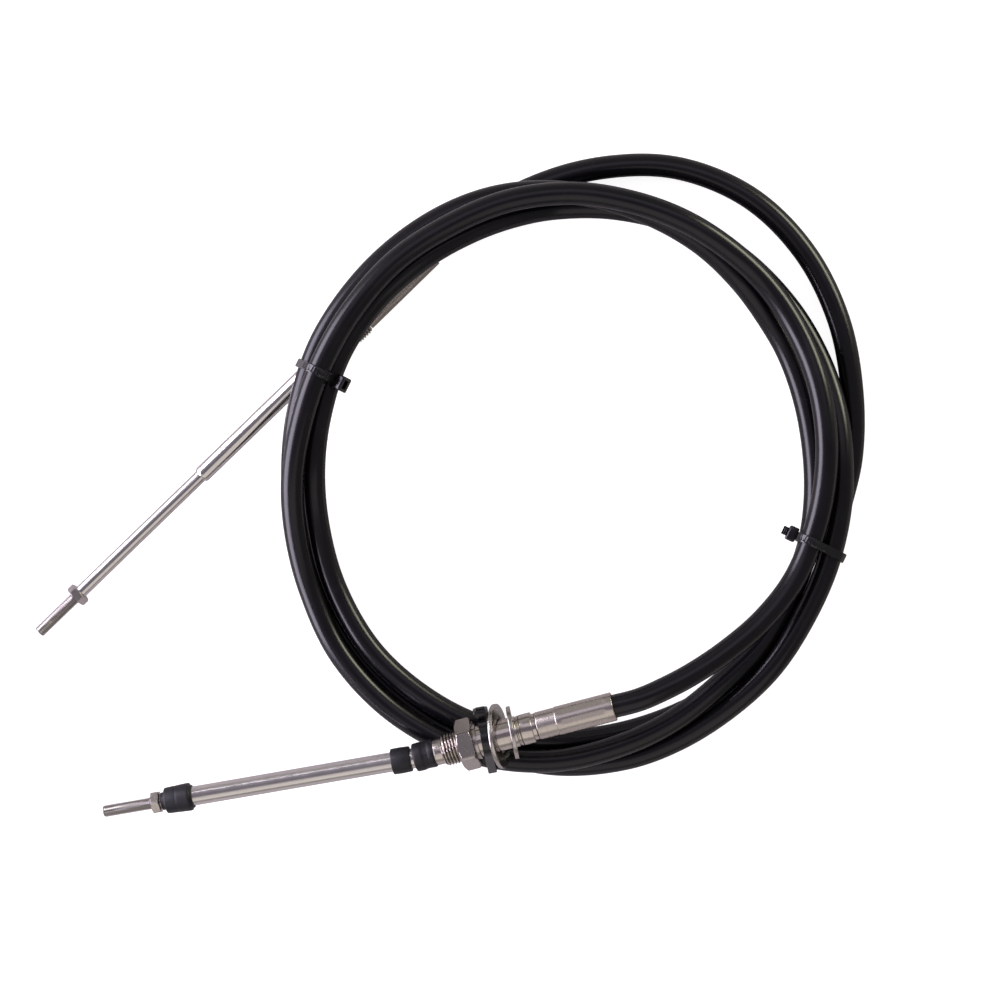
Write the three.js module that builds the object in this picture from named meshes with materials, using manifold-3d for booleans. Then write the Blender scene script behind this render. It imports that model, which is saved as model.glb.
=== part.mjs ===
// Push-pull boat steering cable, coiled and tied, with a stainless fitting at each end.
// Millimetres, +Z up. The coil lies on Z = 0, and the middle of its outline is at X = Y = 0.

import * as THREE from "three";
import Module from "manifold-3d";

const wasm = await Module();
wasm.setup();
const { Manifold, Mesh: ManifoldMesh } = wasm;

// Driving dimensions

const clearance = 0.3;
const bevel = 0.6;

const conduit = { diameter: 11.2, sides: 12, steps: 90, lead: 12 };
const coilCentre = new THREE.Vector2(35, 18.5);

const rod = { diameter: 6.35, length: 124, threadLength: 25, slack: 0.4, stroke: 65, stem: 12 };
const rodThread = { major: 6, pitch: 1, depth: 0.45 };
const jamNut = { acrossFlats: 10, thickness: 4.2 };

const swivel = { ball: 9.8, cup: 11.8, cupMouth: 0.9, pocketGap: 0.3, bootStart: 0.5, boot: 13.8,
  bootRim: 12.6 };
const sealRing = { start: 1.4, hollowEnd: 2.8, diameter: 12.2, bulge: 0.35 };
const wiper = { length: 12.2, overlap: 10.7, tubeEnd: 13.4, rodEnd: 12.6, neck: 9, neckLength: 2 };

const bulkThread = { major: 15.6, pitch: 1.5, depth: 0.8 };
const hubNut = { acrossFlats: 22, thickness: 8.2, boss: 17, bossLength: 1.4, bore: 16.2 };
const washer = { diameter: 31, bore: 16.6, thickness: 2 };

// Distances along each fitting are measured from the middle of its swivel.
const fittingA = {
  heading: 15, tilt: 6, length: 99.3, tubeHeading: 190.25, tubeTilt: -6,
  bootEnd: 10.7, plainStart: 11, plain: 12.6, threadStart: 14.6, threadEnd: 32.2,
  barrel: 14.8, nut: 23, frontWasher: 42.4, frontTurn: -6, frontLean: 8.5,
  backWasher: 49.2, backDiameter: 25.4, backTurn: -4, backLean: -5.5,
  collar: 14.8, collarStart: 53.8, collarEnd: 59.6, groove: 12.8,
  ferruleStart: 61.6, ferruleStep: 71.4, ferruleThroat: 13.4, ferrule: 13.9,
  sealEnd: 10.4, tube: 9.4, tubeEnd: 120.85, rodTip: 153.7, nutPlace: 125.1, nutTurn: -15,
};
const fittingB = {
  heading: 44.3, tilt: 0, length: 63, tubeHeading: 224.1, tubeTilt: 0,
  bootEnd: 6.6, plainStart: 6.9, plain: 12.6, threadStart: 8, threadEnd: 17.2,
  sleeve: 13.6, sleeveStart: 17.5,
  sealEnd: 8.4, tube: 8.3, tubeEnd: 92.6, rodTip: 202.3, nutPlace: 173.8, nutTurn: 12,
};

const tie = { width: 4.2, thickness: 1.2, headWidth: 7.4, headLength: 7.6, headHeight: 4.8,
  strands: 5, headLift: 1 };

// The cable's way round the coil, chosen by eye from the photograph: [degrees anticlockwise
// from +X, counted on from turn to turn, distance from the coil's centre, height of the centre]
const firstTurn = [
  [291, 116.5, 43.5], [299, 116, 40.25], [309, 116.5, 35.25], [320, 118.5, 30.5], [331, 120.5, 27],
  [341, 121, 25.25], [352, 121.5, 25.75], [364, 122.5, 25.75], [377, 124, 23.75],
  [390, 125.5, 21.25], [402, 126.5, 22.25], [413, 126.5, 26.25], [425, 127, 29.5],
  [437, 127.5, 30], [450, 128.5, 30.5], [464, 128.5, 31.5], [478, 127.5, 33],
  [492, 128, 34.25], [506, 128, 35], [519, 129, 35.5], [531, 131, 35], [543, 134.5, 31],
  [554, 137.5, 25], [566, 141, 19.75], [580, 146, 17.75], [595, 148.5, 17.75],
  [611, 148.5, 18.5], [626, 145, 18.5], [640, 139, 18.25],
];
const secondTurn = [
  [652, 134, 18.5], [664, 129, 18.5], [675, 127, 16.25], [684, 125, 13.25], [693, 123, 11.75],
  [703, 121.5, 9.75], [716, 119, 6.75], [732, 117.5, 6], [746, 118, 6.5], [758, 118.5, 9.75],
  [768, 120, 14.5], [779, 122.5, 17], [791, 125, 18], [804, 128.5, 17.75], [817, 131.5, 19],
  [829, 133.5, 20], [842, 134, 19.25], [857, 134, 19.5], [873, 134.5, 20.25],
  [886, 134.5, 19.75], [897, 135, 18.5], [909, 136.5, 12.75], [922, 138, 7.5],
  [938, 140, 6.75], [954, 142.5, 7.25], [970, 145, 7.25], [986, 147.5, 6.25], [1000, 147, 6.25],
];
const thirdTurn = [
  [1011, 144.5, 9.75], [1023, 141, 15.25], [1034, 138.5, 18], [1046, 135, 18.75],
  [1058, 133, 19], [1070, 131.5, 18.5], [1081, 130.5, 17.75], [1091, 130.5, 14.25],
  [1102, 130.5, 8.5], [1115, 130, 6], [1130, 129, 6], [1145, 127.5, 6], [1160, 125.5, 6],
  [1173, 124, 6.5], [1183, 122.5, 13.75], [1194, 121.5, 19], [1207, 121.5, 23.75],
  [1221, 122.5, 24.25], [1235, 123.5, 24.75], [1248, 123.5, 25.25], [1260, 124.5, 24.75],
  [1273, 126.5, 19.5], [1288, 130, 16], [1304, 133.5, 16.25], [1320, 135, 16],
  [1334, 136, 14.25], [1346, 136, 9.75], [1360, 134.5, 6],
];
const lastTurn = [
  [1374, 133.5, 6], [1390, 134.5, 6], [1406, 135, 6.75], [1420, 134, 7.25], [1429, 132.5, 6.75],
  [1441, 136.5, 6], [1454, 141, 6], [1468, 147.5, 6], [1482, 153, 6], [1496, 155.5, 6],
  [1510, 152.5, 6], [1523, 145, 6], [1537, 136, 6],
];
const mouthA = coilPoint([279.3, 118, 43.5]);
const mouthB = coilPoint([1564.2, 123, 8.2]);

// Materials

function material(name, color, roughness, metalness) {
  return new THREE.MeshStandardMaterial({ name, color, roughness, metalness });
}

const jacket = material("conduit_jacket", 0x2b2a2f, 0.42, 0);
const stainless = material("stainless_steel", 0xc9c4bd, 0.28, 1);
const nutSteel = material("machined_steel", 0xb4afa9, 0.42, 1);
const rubber = material("seal_rubber", 0x23252c, 0.75, 0);
const nylon = material("tie_nylon", 0x1d1c20, 0.35, 0);

// Shapes

function coilPoint([angle, radius, height]) {
  const turn = THREE.MathUtils.degToRad(angle);
  return new THREE.Vector3(
    coilCentre.x + radius * Math.cos(turn),
    coilCentre.y + radius * Math.sin(turn),
    height,
  );
}

function signedVolume(geometry) {
  const flat = geometry.index ? geometry.toNonIndexed() : geometry;
  const place = flat.attributes.position;
  const a = new THREE.Vector3();
  const b = new THREE.Vector3();
  const c = new THREE.Vector3();
  let volume = 0;
  for (let i = 0; i < place.count; i += 3) {
    a.fromBufferAttribute(place, i);
    b.fromBufferAttribute(place, i + 1);
    c.fromBufferAttribute(place, i + 2);
    volume += a.dot(b.cross(c)) / 6;
  }
  return volume;
}

// A closed solid turned about +X from points [distance, radius]; its ends lie on the axis,
// or the profile comes back to its first point round a bore.
function turned(profile, segments = 40) {
  const points = profile.map(([distance, radius]) => new THREE.Vector2(radius, distance));
  const geometry = new THREE.LatheGeometry(points, segments);
  geometry.rotateZ(-Math.PI / 2);
  if (signedVolume(geometry) < 0) {
    geometry.index.array.reverse();
  }
  return geometry;
}

// The ridges of a screw thread as points [distance, radius], pitch by pitch.
function ridges(start, end, thread) {
  const count = Math.floor((end - start) / thread.pitch);
  const points = [];
  for (let i = 0; i < count; i += 1) {
    const root = start + i * thread.pitch;
    points.push([root, thread.major / 2 - thread.depth]);
    points.push([root + thread.pitch / 2, thread.major / 2]);
  }
  points.push([start + count * thread.pitch, thread.major / 2 - thread.depth]);
  return points;
}

// Points on a ball of this radius about the origin, from one distance along X to another.
function arc(radius, from, to, steps) {
  const points = [];
  for (let i = 0; i <= steps; i += 1) {
    const distance = THREE.MathUtils.lerp(from, to, i / steps);
    points.push([distance, Math.sqrt(radius ** 2 - distance ** 2)]);
  }
  return points;
}

function toManifold(geometry) {
  const flat = geometry.index ? geometry.toNonIndexed() : geometry;
  const place = flat.attributes.position;
  const solid = new ManifoldMesh({
    numProp: 3,
    vertProperties: new Float32Array(place.array),
    triVerts: Uint32Array.from({ length: place.count }, (_, i) => i),
  });
  solid.merge();
  return new Manifold(solid);
}

function fromManifold(solid) {
  const mesh = solid.getMesh();
  const geometry = new THREE.BufferGeometry();
  geometry.setAttribute("position", new THREE.BufferAttribute(mesh.vertProperties, 3));
  geometry.setIndex(new THREE.BufferAttribute(mesh.triVerts, 1));
  const faceted = geometry.toNonIndexed();
  faceted.computeVertexNormals();
  return faceted;
}

// A hexagon nut along +X with its corners turned away at both faces; a flat faces up.
function hexNut(size, boreDiameter, boss) {
  const halfCorner = size.acrossFlats / Math.sqrt(3);
  const chamfer = (halfCorner - size.acrossFlats / 2) * 0.7;
  const outline = new THREE.Shape();
  for (let i = 0; i < 6; i += 1) {
    const turn = (i * Math.PI) / 3;
    outline[i ? "lineTo" : "moveTo"](halfCorner * Math.cos(turn), halfCorner * Math.sin(turn));
  }
  const prism = new THREE.ExtrudeGeometry(outline, { depth: size.thickness, bevelEnabled: false });
  prism.rotateZ(Math.PI / 2);
  prism.rotateY(Math.PI / 2);
  const rounded = turned([
    [0, 0], [0, halfCorner - chamfer * 1.8], [chamfer, halfCorner],
    [size.thickness - chamfer, halfCorner], [size.thickness, halfCorner - chamfer * 1.8],
    [size.thickness, 0],
  ], 48);
  let nut = toManifold(prism).intersect(toManifold(rounded));
  let end = size.thickness;
  if (boss) {
    end += boss.length;
    const collar = turned([
      [size.thickness / 2, 0], [size.thickness / 2, boss.diameter / 2],
      [end, boss.diameter / 2], [end, 0],
    ], 48);
    nut = nut.add(toManifold(collar));
  }
  const hole = turned([
    [-1, 0], [-1, boreDiameter / 2], [end + 1, boreDiameter / 2], [end + 1, 0],
  ], 32);
  return fromManifold(nut.subtract(toManifold(hole)));
}

function ring(outer, bore, thickness) {
  const edge = 0.25;
  return turned([
    [0, bore / 2], [0, outer / 2 - edge], [edge, outer / 2], [thickness - edge, outer / 2],
    [thickness, outer / 2 - edge], [thickness, bore / 2], [0, bore / 2],
  ], 48);
}

function named(name, geometry, look, distance = 0) {
  const mesh = new THREE.Mesh(geometry, look);
  mesh.name = name;
  mesh.position.x = distance;
  return mesh;
}

function placed(position, heading, tilt) {
  const group = new THREE.Group();
  group.position.copy(position);
  const toRad = THREE.MathUtils.degToRad;
  group.rotation.set(0, -toRad(tilt), toRad(heading), "ZYX");
  return group;
}

function axisOf(heading, tilt) {
  return new THREE.Vector3(1, 0, 0).applyEuler(placed(new THREE.Vector3(), heading, tilt).rotation);
}

// Cable route

const axisA = axisOf(fittingA.heading, fittingA.tilt);
const axisB = axisOf(fittingB.heading, fittingB.tilt);
const swivelA = mouthA.clone().addScaledVector(axisA, -fittingA.length);
const swivelB = mouthB.clone().addScaledVector(axisB, -fittingB.length);

const route = new THREE.CatmullRomCurve3([
  mouthA.clone().addScaledVector(axisA, clearance),
  mouthA.clone().addScaledVector(axisA, conduit.lead),
  ...[...firstTurn, ...secondTurn, ...thirdTurn, ...lastTurn].map(coilPoint),
  mouthB.clone().addScaledVector(axisB, conduit.lead),
  mouthB.clone().addScaledVector(axisB, clearance),
], false, "centripetal");

function conduitSolid() {
  const section = new THREE.Shape();
  for (let i = 0; i < conduit.sides; i += 1) {
    const turn = (i * 2 * Math.PI) / conduit.sides;
    const x = (conduit.diameter / 2) * Math.cos(turn);
    const y = (conduit.diameter / 2) * Math.sin(turn);
    section[i ? "lineTo" : "moveTo"](x, y);
  }
  return new THREE.ExtrudeGeometry(section, {
    steps: conduit.steps, bevelEnabled: false, extrudePath: route,
  });
}

// Swivel: a ball on the tube, held in a cup on the hub, with rubber on both sides

function hubCup(size) {
  const pocket = swivel.ball / 2 + swivel.pocketGap;
  const depth = pocket * 0.98;
  const wall = arc(pocket, depth, swivel.cupMouth, 8);
  return {
    inner: [[depth, 0], ...wall],
    outer: [[swivel.cupMouth, swivel.cup / 2], [size.plainStart, swivel.cup / 2]],
  };
}

function swivelBoot(size) {
  const start = swivel.bootStart;
  const middle = (start + size.bootEnd) / 2;
  return turned([
    [start, swivel.cup / 2 + clearance], [start, swivel.bootRim / 2 + 0.25],
    [start + 1.2, swivel.bootRim / 2 + 0.5], [middle, swivel.boot / 2],
    [size.bootEnd - 1.2, swivel.boot / 2 - 0.1], [size.bootEnd, swivel.bootRim / 2 + 0.4],
    [size.bootEnd, swivel.cup / 2 + clearance], [start, swivel.cup / 2 + clearance],
  ]);
}

function tubeSeal(size) {
  const bore = size.tube / 2 + clearance;
  const hollow = swivel.ball / 2 + clearance;
  const face = sealRing.diameter / 2;
  return turned([
    [sealRing.start, hollow], [sealRing.start, face - bevel],
    [sealRing.start + bevel, face], [(sealRing.start + size.sealEnd) / 2, face + sealRing.bulge],
    [size.sealEnd - bevel, face], [size.sealEnd, face - bevel],
    [size.sealEnd, bore], [sealRing.hollowEnd, bore], [sealRing.hollowEnd, hollow],
    [sealRing.start, hollow],
  ]);
}

function guideTube(size) {
  const ball = swivel.ball / 2;
  const outer = size.tube / 2;
  const bore = rod.diameter / 2 + rod.slack;
  const neck = Math.sqrt(ball ** 2 - outer ** 2);
  return turned([
    [-ball, 0], ...arc(ball, -ball * 0.985, neck, 10),
    [size.tubeEnd - bevel, outer], [size.tubeEnd, outer - bevel / 2],
    [size.tubeEnd, bore], [rod.stem, bore], [rod.stem - 2, 0],
  ]);
}

function outputRod() {
  const plain = rod.diameter / 2;
  const threadStart = rod.length - rod.threadLength;
  const thread = ridges(threadStart, rod.length - bevel, rodThread);
  const tip = rodThread.major / 2 - rodThread.depth;
  return turned([
    [0, 0], [0, plain - bevel], [bevel, plain], [threadStart - 0.2, plain],
    ...thread, [rod.length, tip - bevel], [rod.length, 0],
  ], 24);
}

function wiperBoot(size) {
  const rodBore = rod.diameter / 2 + clearance;
  const tubeBore = size.tube / 2 + clearance;
  const start = size.tubeEnd - wiper.overlap;
  const end = start + wiper.length;
  const lip = end + wiper.neckLength;
  return turned([
    [start, tubeBore], [start, wiper.tubeEnd / 2 - bevel], [start + bevel, wiper.tubeEnd / 2],
    [start + 3.4, wiper.tubeEnd / 2 + 0.1], [start + 4, wiper.tubeEnd / 2 - 0.35],
    [end - bevel, wiper.rodEnd / 2], [end, wiper.rodEnd / 2 - bevel],
    [end, wiper.neck / 2], [lip, wiper.neck / 2 - 0.2], [lip, rodBore],
    [size.tubeEnd + clearance, rodBore], [size.tubeEnd + clearance, tubeBore],
    [start, tubeBore],
  ]);
}

// Fitting A, with the long hub that goes through the hull

function bulkheadHub(size) {
  const cup = hubCup(size);
  const barrel = size.barrel / 2;
  const groove = size.groove / 2;
  const lip = size.backWasher + washer.thickness / 2 + clearance;
  return turned([
    ...cup.inner, ...cup.outer,
    [size.plainStart, size.plain / 2], [size.threadStart, size.plain / 2],
    ...ridges(size.threadStart, size.threadEnd, bulkThread),
    [size.threadEnd + 0.3, barrel], [lip + 1.4, barrel], [lip + 1.6, groove + 0.5],
    [lip + 2, groove + 0.5], [lip + 2.2, barrel - 0.2], [lip + 3, barrel - 0.2],
    [lip + 3.1, groove], [size.collarStart, groove], [size.collarStart + 0.2, size.collar / 2],
    [size.collarEnd - 0.3, size.collar / 2], [size.collarEnd, size.collar / 2 - 0.3],
    [size.collarEnd, groove], [size.ferruleStart - clearance, groove],
    [size.ferruleStart - clearance, 0],
  ]);
}

function crimpFerrule(size) {
  const throat = size.ferruleThroat / 2;
  const body = size.ferrule / 2;
  return turned([
    [size.ferruleStart, 0], [size.ferruleStart, throat - 0.4], [size.ferruleStart + 0.4, throat],
    [size.ferruleStep - 0.5, throat], [size.ferruleStep, body],
    [size.length - 0.5, body], [size.length, body - 0.5], [size.length, 0],
  ]);
}

function buildFittingA() {
  const group = placed(swivelA, fittingA.heading, fittingA.tilt);
  const boss = { diameter: hubNut.boss, length: hubNut.bossLength };
  const nut = hexNut(hubNut, hubNut.bore, boss);
  const half = washer.thickness / 2;
  const front = placed(
    new THREE.Vector3(fittingA.frontWasher, 0, 0), fittingA.frontTurn, fittingA.frontLean,
  );
  front.add(named("front_washer", ring(washer.diameter, washer.bore, washer.thickness), nutSteel, -half));
  const back = placed(
    new THREE.Vector3(fittingA.backWasher, 0, 0), fittingA.backTurn, fittingA.backLean,
  );
  back.add(
    named("back_washer", ring(fittingA.backDiameter, washer.bore, washer.thickness), nutSteel, -half),
  );
  group.add(
    named("bulkhead_hub", bulkheadHub(fittingA), stainless),
    named("swivel_boot_a", swivelBoot(fittingA), rubber),
    named("hub_nut", nut, nutSteel, fittingA.nut),
    front,
    back,
    named("crimp_ferrule_a", crimpFerrule(fittingA), stainless),
  );
  return group;
}

// Fitting B, with the short hub and the long crimped sleeve

function shortHub(size) {
  const cup = hubCup(size);
  const end = size.sleeveStart - clearance;
  return turned([
    ...cup.inner, ...cup.outer,
    [size.plainStart, size.plain / 2], [size.threadStart, size.plain / 2],
    ...ridges(size.threadStart, size.threadEnd, bulkThread),
    [end, size.plain / 2], [end, 0],
  ]);
}

function crimpSleeve(size) {
  const body = size.sleeve / 2;
  return turned([
    [size.sleeveStart, 0], [size.sleeveStart, body - 0.5], [size.sleeveStart + 0.5, body],
    [size.length - 0.5, body], [size.length, body - 0.5], [size.length, 0],
  ]);
}

function buildFittingB() {
  const group = placed(swivelB, fittingB.heading, fittingB.tilt);
  group.add(
    named("short_hub", shortHub(fittingB), stainless),
    named("swivel_boot_b", swivelBoot(fittingB), rubber),
    named("crimp_sleeve_b", crimpSleeve(fittingB), stainless),
  );
  return group;
}

// Tube and rod at each end

function buildArm(size, centre, letter, hasWiper) {
  const group = placed(centre, size.tubeHeading, size.tubeTilt);
  const nut = hexNut(jamNut, rodThread.major + 2 * clearance);
  nut.rotateX(THREE.MathUtils.degToRad(size.nutTurn));
  group.add(
    named(`guide_tube_${letter}`, guideTube(size), stainless),
    named(`tube_seal_${letter}`, tubeSeal(size), rubber),
    named(`output_rod_${letter}`, outputRod(), stainless, size.rodTip - rod.length),
    named(`jam_nut_${letter}`, nut, nutSteel, size.nutPlace),
  );
  if (hasWiper) {
    group.add(named("wiper_boot", wiperBoot(size), rubber));
  }
  return group;
}

// Cable ties: each band is drawn round the strands that cross its plane

function strandsAt(centre, across, along) {
  const corners = route.getSpacedPoints(conduit.steps);
  const found = [];
  for (let i = 1; i < corners.length; i += 1) {
    const before = corners[i - 1].clone().sub(centre).dot(along);
    const after = corners[i].clone().sub(centre).dot(along);
    const crossing = corners[i - 1].clone().lerp(corners[i], before / (before - after));
    const offset = crossing.clone().sub(centre).dot(across);
    if (before * after <= 0 && Math.abs(offset) < tie.strands * conduit.diameter) {
      const way = corners[i].clone().sub(corners[i - 1]).normalize();
      const slant = Math.abs(way.dot(along));
      const radius = conduit.diameter / 2;
      found.push({ x: offset, y: crossing.z, halfWidth: radius / slant, halfHeight: radius });
    }
  }
  return found;
}

function hullOf(ovals, grow) {
  const points = [];
  for (const oval of ovals) {
    for (let i = 0; i < 36; i += 1) {
      const turn = (i * Math.PI) / 18;
      const x = oval.x + (oval.halfWidth + grow) * Math.cos(turn);
      const y = oval.y + (oval.halfHeight + grow) * Math.sin(turn);
      points.push([x, y]);
    }
  }
  points.sort((p, q) => p[0] - q[0] || p[1] - q[1]);
  const half = (list) => {
    const chain = [];
    for (const p of list) {
      while (chain.length > 1 && turnOf(chain.at(-2), chain.at(-1), p) <= 1e-6) {
        chain.pop();
      }
      chain.push(p);
    }
    chain.pop();
    return chain;
  };
  return [...half(points), ...half([...points].reverse())];
}

function turnOf([ax, ay], [bx, by], [cx, cy]) {
  return (bx - ax) * (cy - ay) - (by - ay) * (cx - ax);
}

// Where a ray from the loop's middle at this angle leaves it, and the way the band runs there
function onLoop(loop, angle) {
  const middle = new THREE.Vector2();
  loop.forEach(([x, y]) => middle.add(new THREE.Vector2(x, y)));
  middle.divideScalar(loop.length);
  const ray = new THREE.Vector2(1, 0).rotateAround(new THREE.Vector2(), angle);
  let best = null;
  loop.forEach((start, i) => {
    const end = loop[(i + 1) % loop.length];
    const edge = new THREE.Vector2(end[0] - start[0], end[1] - start[1]);
    const cross = ray.x * edge.y - ray.y * edge.x;
    const from = new THREE.Vector2(start[0] - middle.x, start[1] - middle.y);
    const share = (from.y * ray.x - from.x * ray.y) / cross;
    const reach = (from.x * edge.y - from.y * edge.x) / cross;
    if (share <= 0 && share >= -1 && reach > 0) {
      best = { point: middle.clone().addScaledVector(ray, reach), way: edge.angle() };
    }
  });
  return best;
}

// The hub's barrel where it crosses the same plane
function hubAt(centre, across, along) {
  const from = swivelA.clone().sub(centre);
  const reach = -from.dot(along) / axisA.dot(along);
  const crossing = from.addScaledVector(axisA, reach);
  const radius = fittingA.barrel / 2;
  const slant = Math.abs(axisA.dot(along));
  return { x: crossing.dot(across), y: crossing.z, halfWidth: radius / slant, halfHeight: radius };
}

function cableTie(name, centre, heading, headAngle, stubLength, holdsHub) {
  const across = axisOf(heading, 0);
  const along = axisOf(heading + 90, 0);
  const ovals = [-0.5, 0, 0.5].flatMap((share) => {
    const plane = centre.clone().addScaledVector(along, share * tie.width);
    const hub = holdsHub ? [hubAt(plane, across, along)] : [];
    return [...strandsAt(plane, across, along), ...hub];
  });
  const inner = hullOf(ovals, clearance);
  const outer = hullOf(ovals, clearance + tie.thickness);
  const band = new THREE.Shape(outer.map(([x, y]) => new THREE.Vector2(x, y)));
  band.holes.push(new THREE.Path(inner.map(([x, y]) => new THREE.Vector2(x, y))));
  const loop = new THREE.ExtrudeGeometry(band, { depth: tie.width, bevelEnabled: false });
  loop.translate(0, 0, -tie.width / 2);
  const seat = onLoop(inner, THREE.MathUtils.degToRad(headAngle));
  const head = new THREE.BoxGeometry(tie.headLength, tie.headHeight, tie.headWidth);
  head.translate(0, -tie.headLift - tie.headHeight / 2, 0);
  const stub = new THREE.BoxGeometry(tie.thickness, stubLength + 1, tie.width);
  stub.translate(tie.headLength / 6, -tie.headLift - tie.headHeight - stubLength / 2, 0);
  for (const piece of [head, stub]) {
    piece.rotateZ(seat.way);
    piece.translate(seat.point.x, seat.point.y, 0);
  }
  const solid = toManifold(loop).add(toManifold(head)).add(toManifold(stub));
  const mesh = named(name, fromManifold(solid), nylon);
  mesh.rotation.set(Math.PI / 2, 0, THREE.MathUtils.degToRad(heading), "ZYX");
  mesh.position.set(centre.x, centre.y, 0);
  return mesh;
}

function buildTies() {
  const group = new THREE.Group();
  const hub = swivelA.clone().addScaledVector(axisA, 35.9).setZ(0);
  const left = coilPoint([160.6, 131, 0]);
  const right = coilPoint([341, 127, 0]);
  group.add(
    cableTie("hub_tie", hub, 101, 37, 1.2, true),
    cableTie("left_tie", left, 154, 160, 0.5, false),
    cableTie("right_tie", right, -25.5, 180, 2.6, false),
  );
  return group;
}

// Assembly

const cable = new THREE.Group();
cable.add(
  named("conduit", conduitSolid(), jacket),
  buildFittingA(),
  buildFittingB(),
  buildArm(fittingA, swivelA, "a", true),
  buildArm(fittingB, swivelB, "b", false),
  buildTies(),
);
cable.updateMatrixWorld(true);
const extent = new THREE.Box3().setFromObject(cable, true);
const middle = extent.getCenter(new THREE.Vector3());
cable.position.set(-middle.x, -middle.y, -extent.min.z);

export default cable;
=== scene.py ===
"""Looks of a coiled boat steering cable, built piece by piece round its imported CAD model."""

import logging
import math
from dataclasses import dataclass, field, replace
from enum import Enum
from typing import Callable, Iterator, Mapping, Sequence

import bmesh
import bpy
from mathutils import Matrix, Vector


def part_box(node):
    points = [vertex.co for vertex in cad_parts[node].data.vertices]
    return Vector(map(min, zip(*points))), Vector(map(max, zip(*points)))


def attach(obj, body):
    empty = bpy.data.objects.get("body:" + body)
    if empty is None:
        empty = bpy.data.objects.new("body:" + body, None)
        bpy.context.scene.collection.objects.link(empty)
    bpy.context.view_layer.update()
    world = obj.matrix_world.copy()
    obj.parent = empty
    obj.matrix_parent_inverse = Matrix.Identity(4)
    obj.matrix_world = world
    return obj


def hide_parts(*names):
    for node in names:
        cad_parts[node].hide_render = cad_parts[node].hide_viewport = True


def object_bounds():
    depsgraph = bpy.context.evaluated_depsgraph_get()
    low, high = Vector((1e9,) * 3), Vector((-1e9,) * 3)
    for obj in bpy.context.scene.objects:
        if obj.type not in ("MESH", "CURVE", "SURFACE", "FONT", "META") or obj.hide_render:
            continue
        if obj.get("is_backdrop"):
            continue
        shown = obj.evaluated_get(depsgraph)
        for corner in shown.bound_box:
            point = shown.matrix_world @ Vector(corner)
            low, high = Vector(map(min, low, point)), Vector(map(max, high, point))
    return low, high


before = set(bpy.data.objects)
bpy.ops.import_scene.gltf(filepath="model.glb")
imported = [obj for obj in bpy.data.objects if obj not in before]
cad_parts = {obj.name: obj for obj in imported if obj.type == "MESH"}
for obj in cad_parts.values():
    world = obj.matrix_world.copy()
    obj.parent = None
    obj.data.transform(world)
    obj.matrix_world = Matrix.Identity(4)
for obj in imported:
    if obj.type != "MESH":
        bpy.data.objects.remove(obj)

MM = 0.001
TAU = 2 * math.pi
NEAR = 0.01
CUTS_PER_TURN = 12
STUDIO_WIDTH = 0.49
STUDIO_MIDDLE = (0.0240, -0.0073, 0)
FLOOR_DROP = 0.0002
CAMERA_HEIGHT = 1.4
SENSOR = 36.0

log = logging.getLogger("steering_cable")

Color = tuple[float, float, float, float]
Station = tuple[float, float, float]


class Slot(Enum):
    """The record's material slots."""

    JACKET = "conduit_jacket"
    STAINLESS = "stainless_steel"
    MACHINED = "machined_steel"
    RUBBER = "seal_rubber"
    NYLON = "tie_nylon"


class Grain(Enum):
    """Which way the marks of working run on a steel piece."""

    DRAWN = "along"
    TURNED = "around"


class Body(Enum):
    """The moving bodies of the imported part."""

    CABLE = "cable"
    ARM_A = "arm_a"
    ROD_A = "rod_a"
    ARM_B = "arm_b"
    ROD_B = "rod_b"


# Placing


@dataclass(frozen=True)
class Place:
    """A straight fitting's own frame: millimetres along +X from its origin in the scene."""

    origin: Vector
    heading: float
    tilt: float

    @property
    def turn(self) -> Matrix:
        """The turn from the fitting's own axes to the scene's."""
        lean = Matrix.Rotation(-math.radians(self.tilt), 4, "Y")
        return Matrix.Rotation(math.radians(self.heading), 4, "Z") @ lean

    @property
    def matrix(self) -> Matrix:
        """The whole change from the fitting's millimetres to the scene's metres."""
        return Matrix.Translation(self.origin) @ self.turn @ Matrix.Scale(MM, 4)

    @property
    def axis(self) -> Vector:
        """The direction of the fitting's +X in the scene."""
        return self.turn @ Vector((1, 0, 0))

    def along(self, distance: float) -> "Place":
        """Gives the frame that stands further along this one, in millimetres."""
        return Place(self.origin + self.axis * distance * MM, self.heading, self.tilt)

    def leaning(self, turn: float, lean: float) -> "Place":
        """Gives the frame at the same origin, turned and tilted within this one by degrees."""
        way = self.turn @ Place(Vector(), turn, lean).axis
        heading = math.degrees(math.atan2(way.y, way.x))
        return Place(self.origin, heading, math.degrees(math.asin(way.z)))


# Route of the conduit


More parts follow.
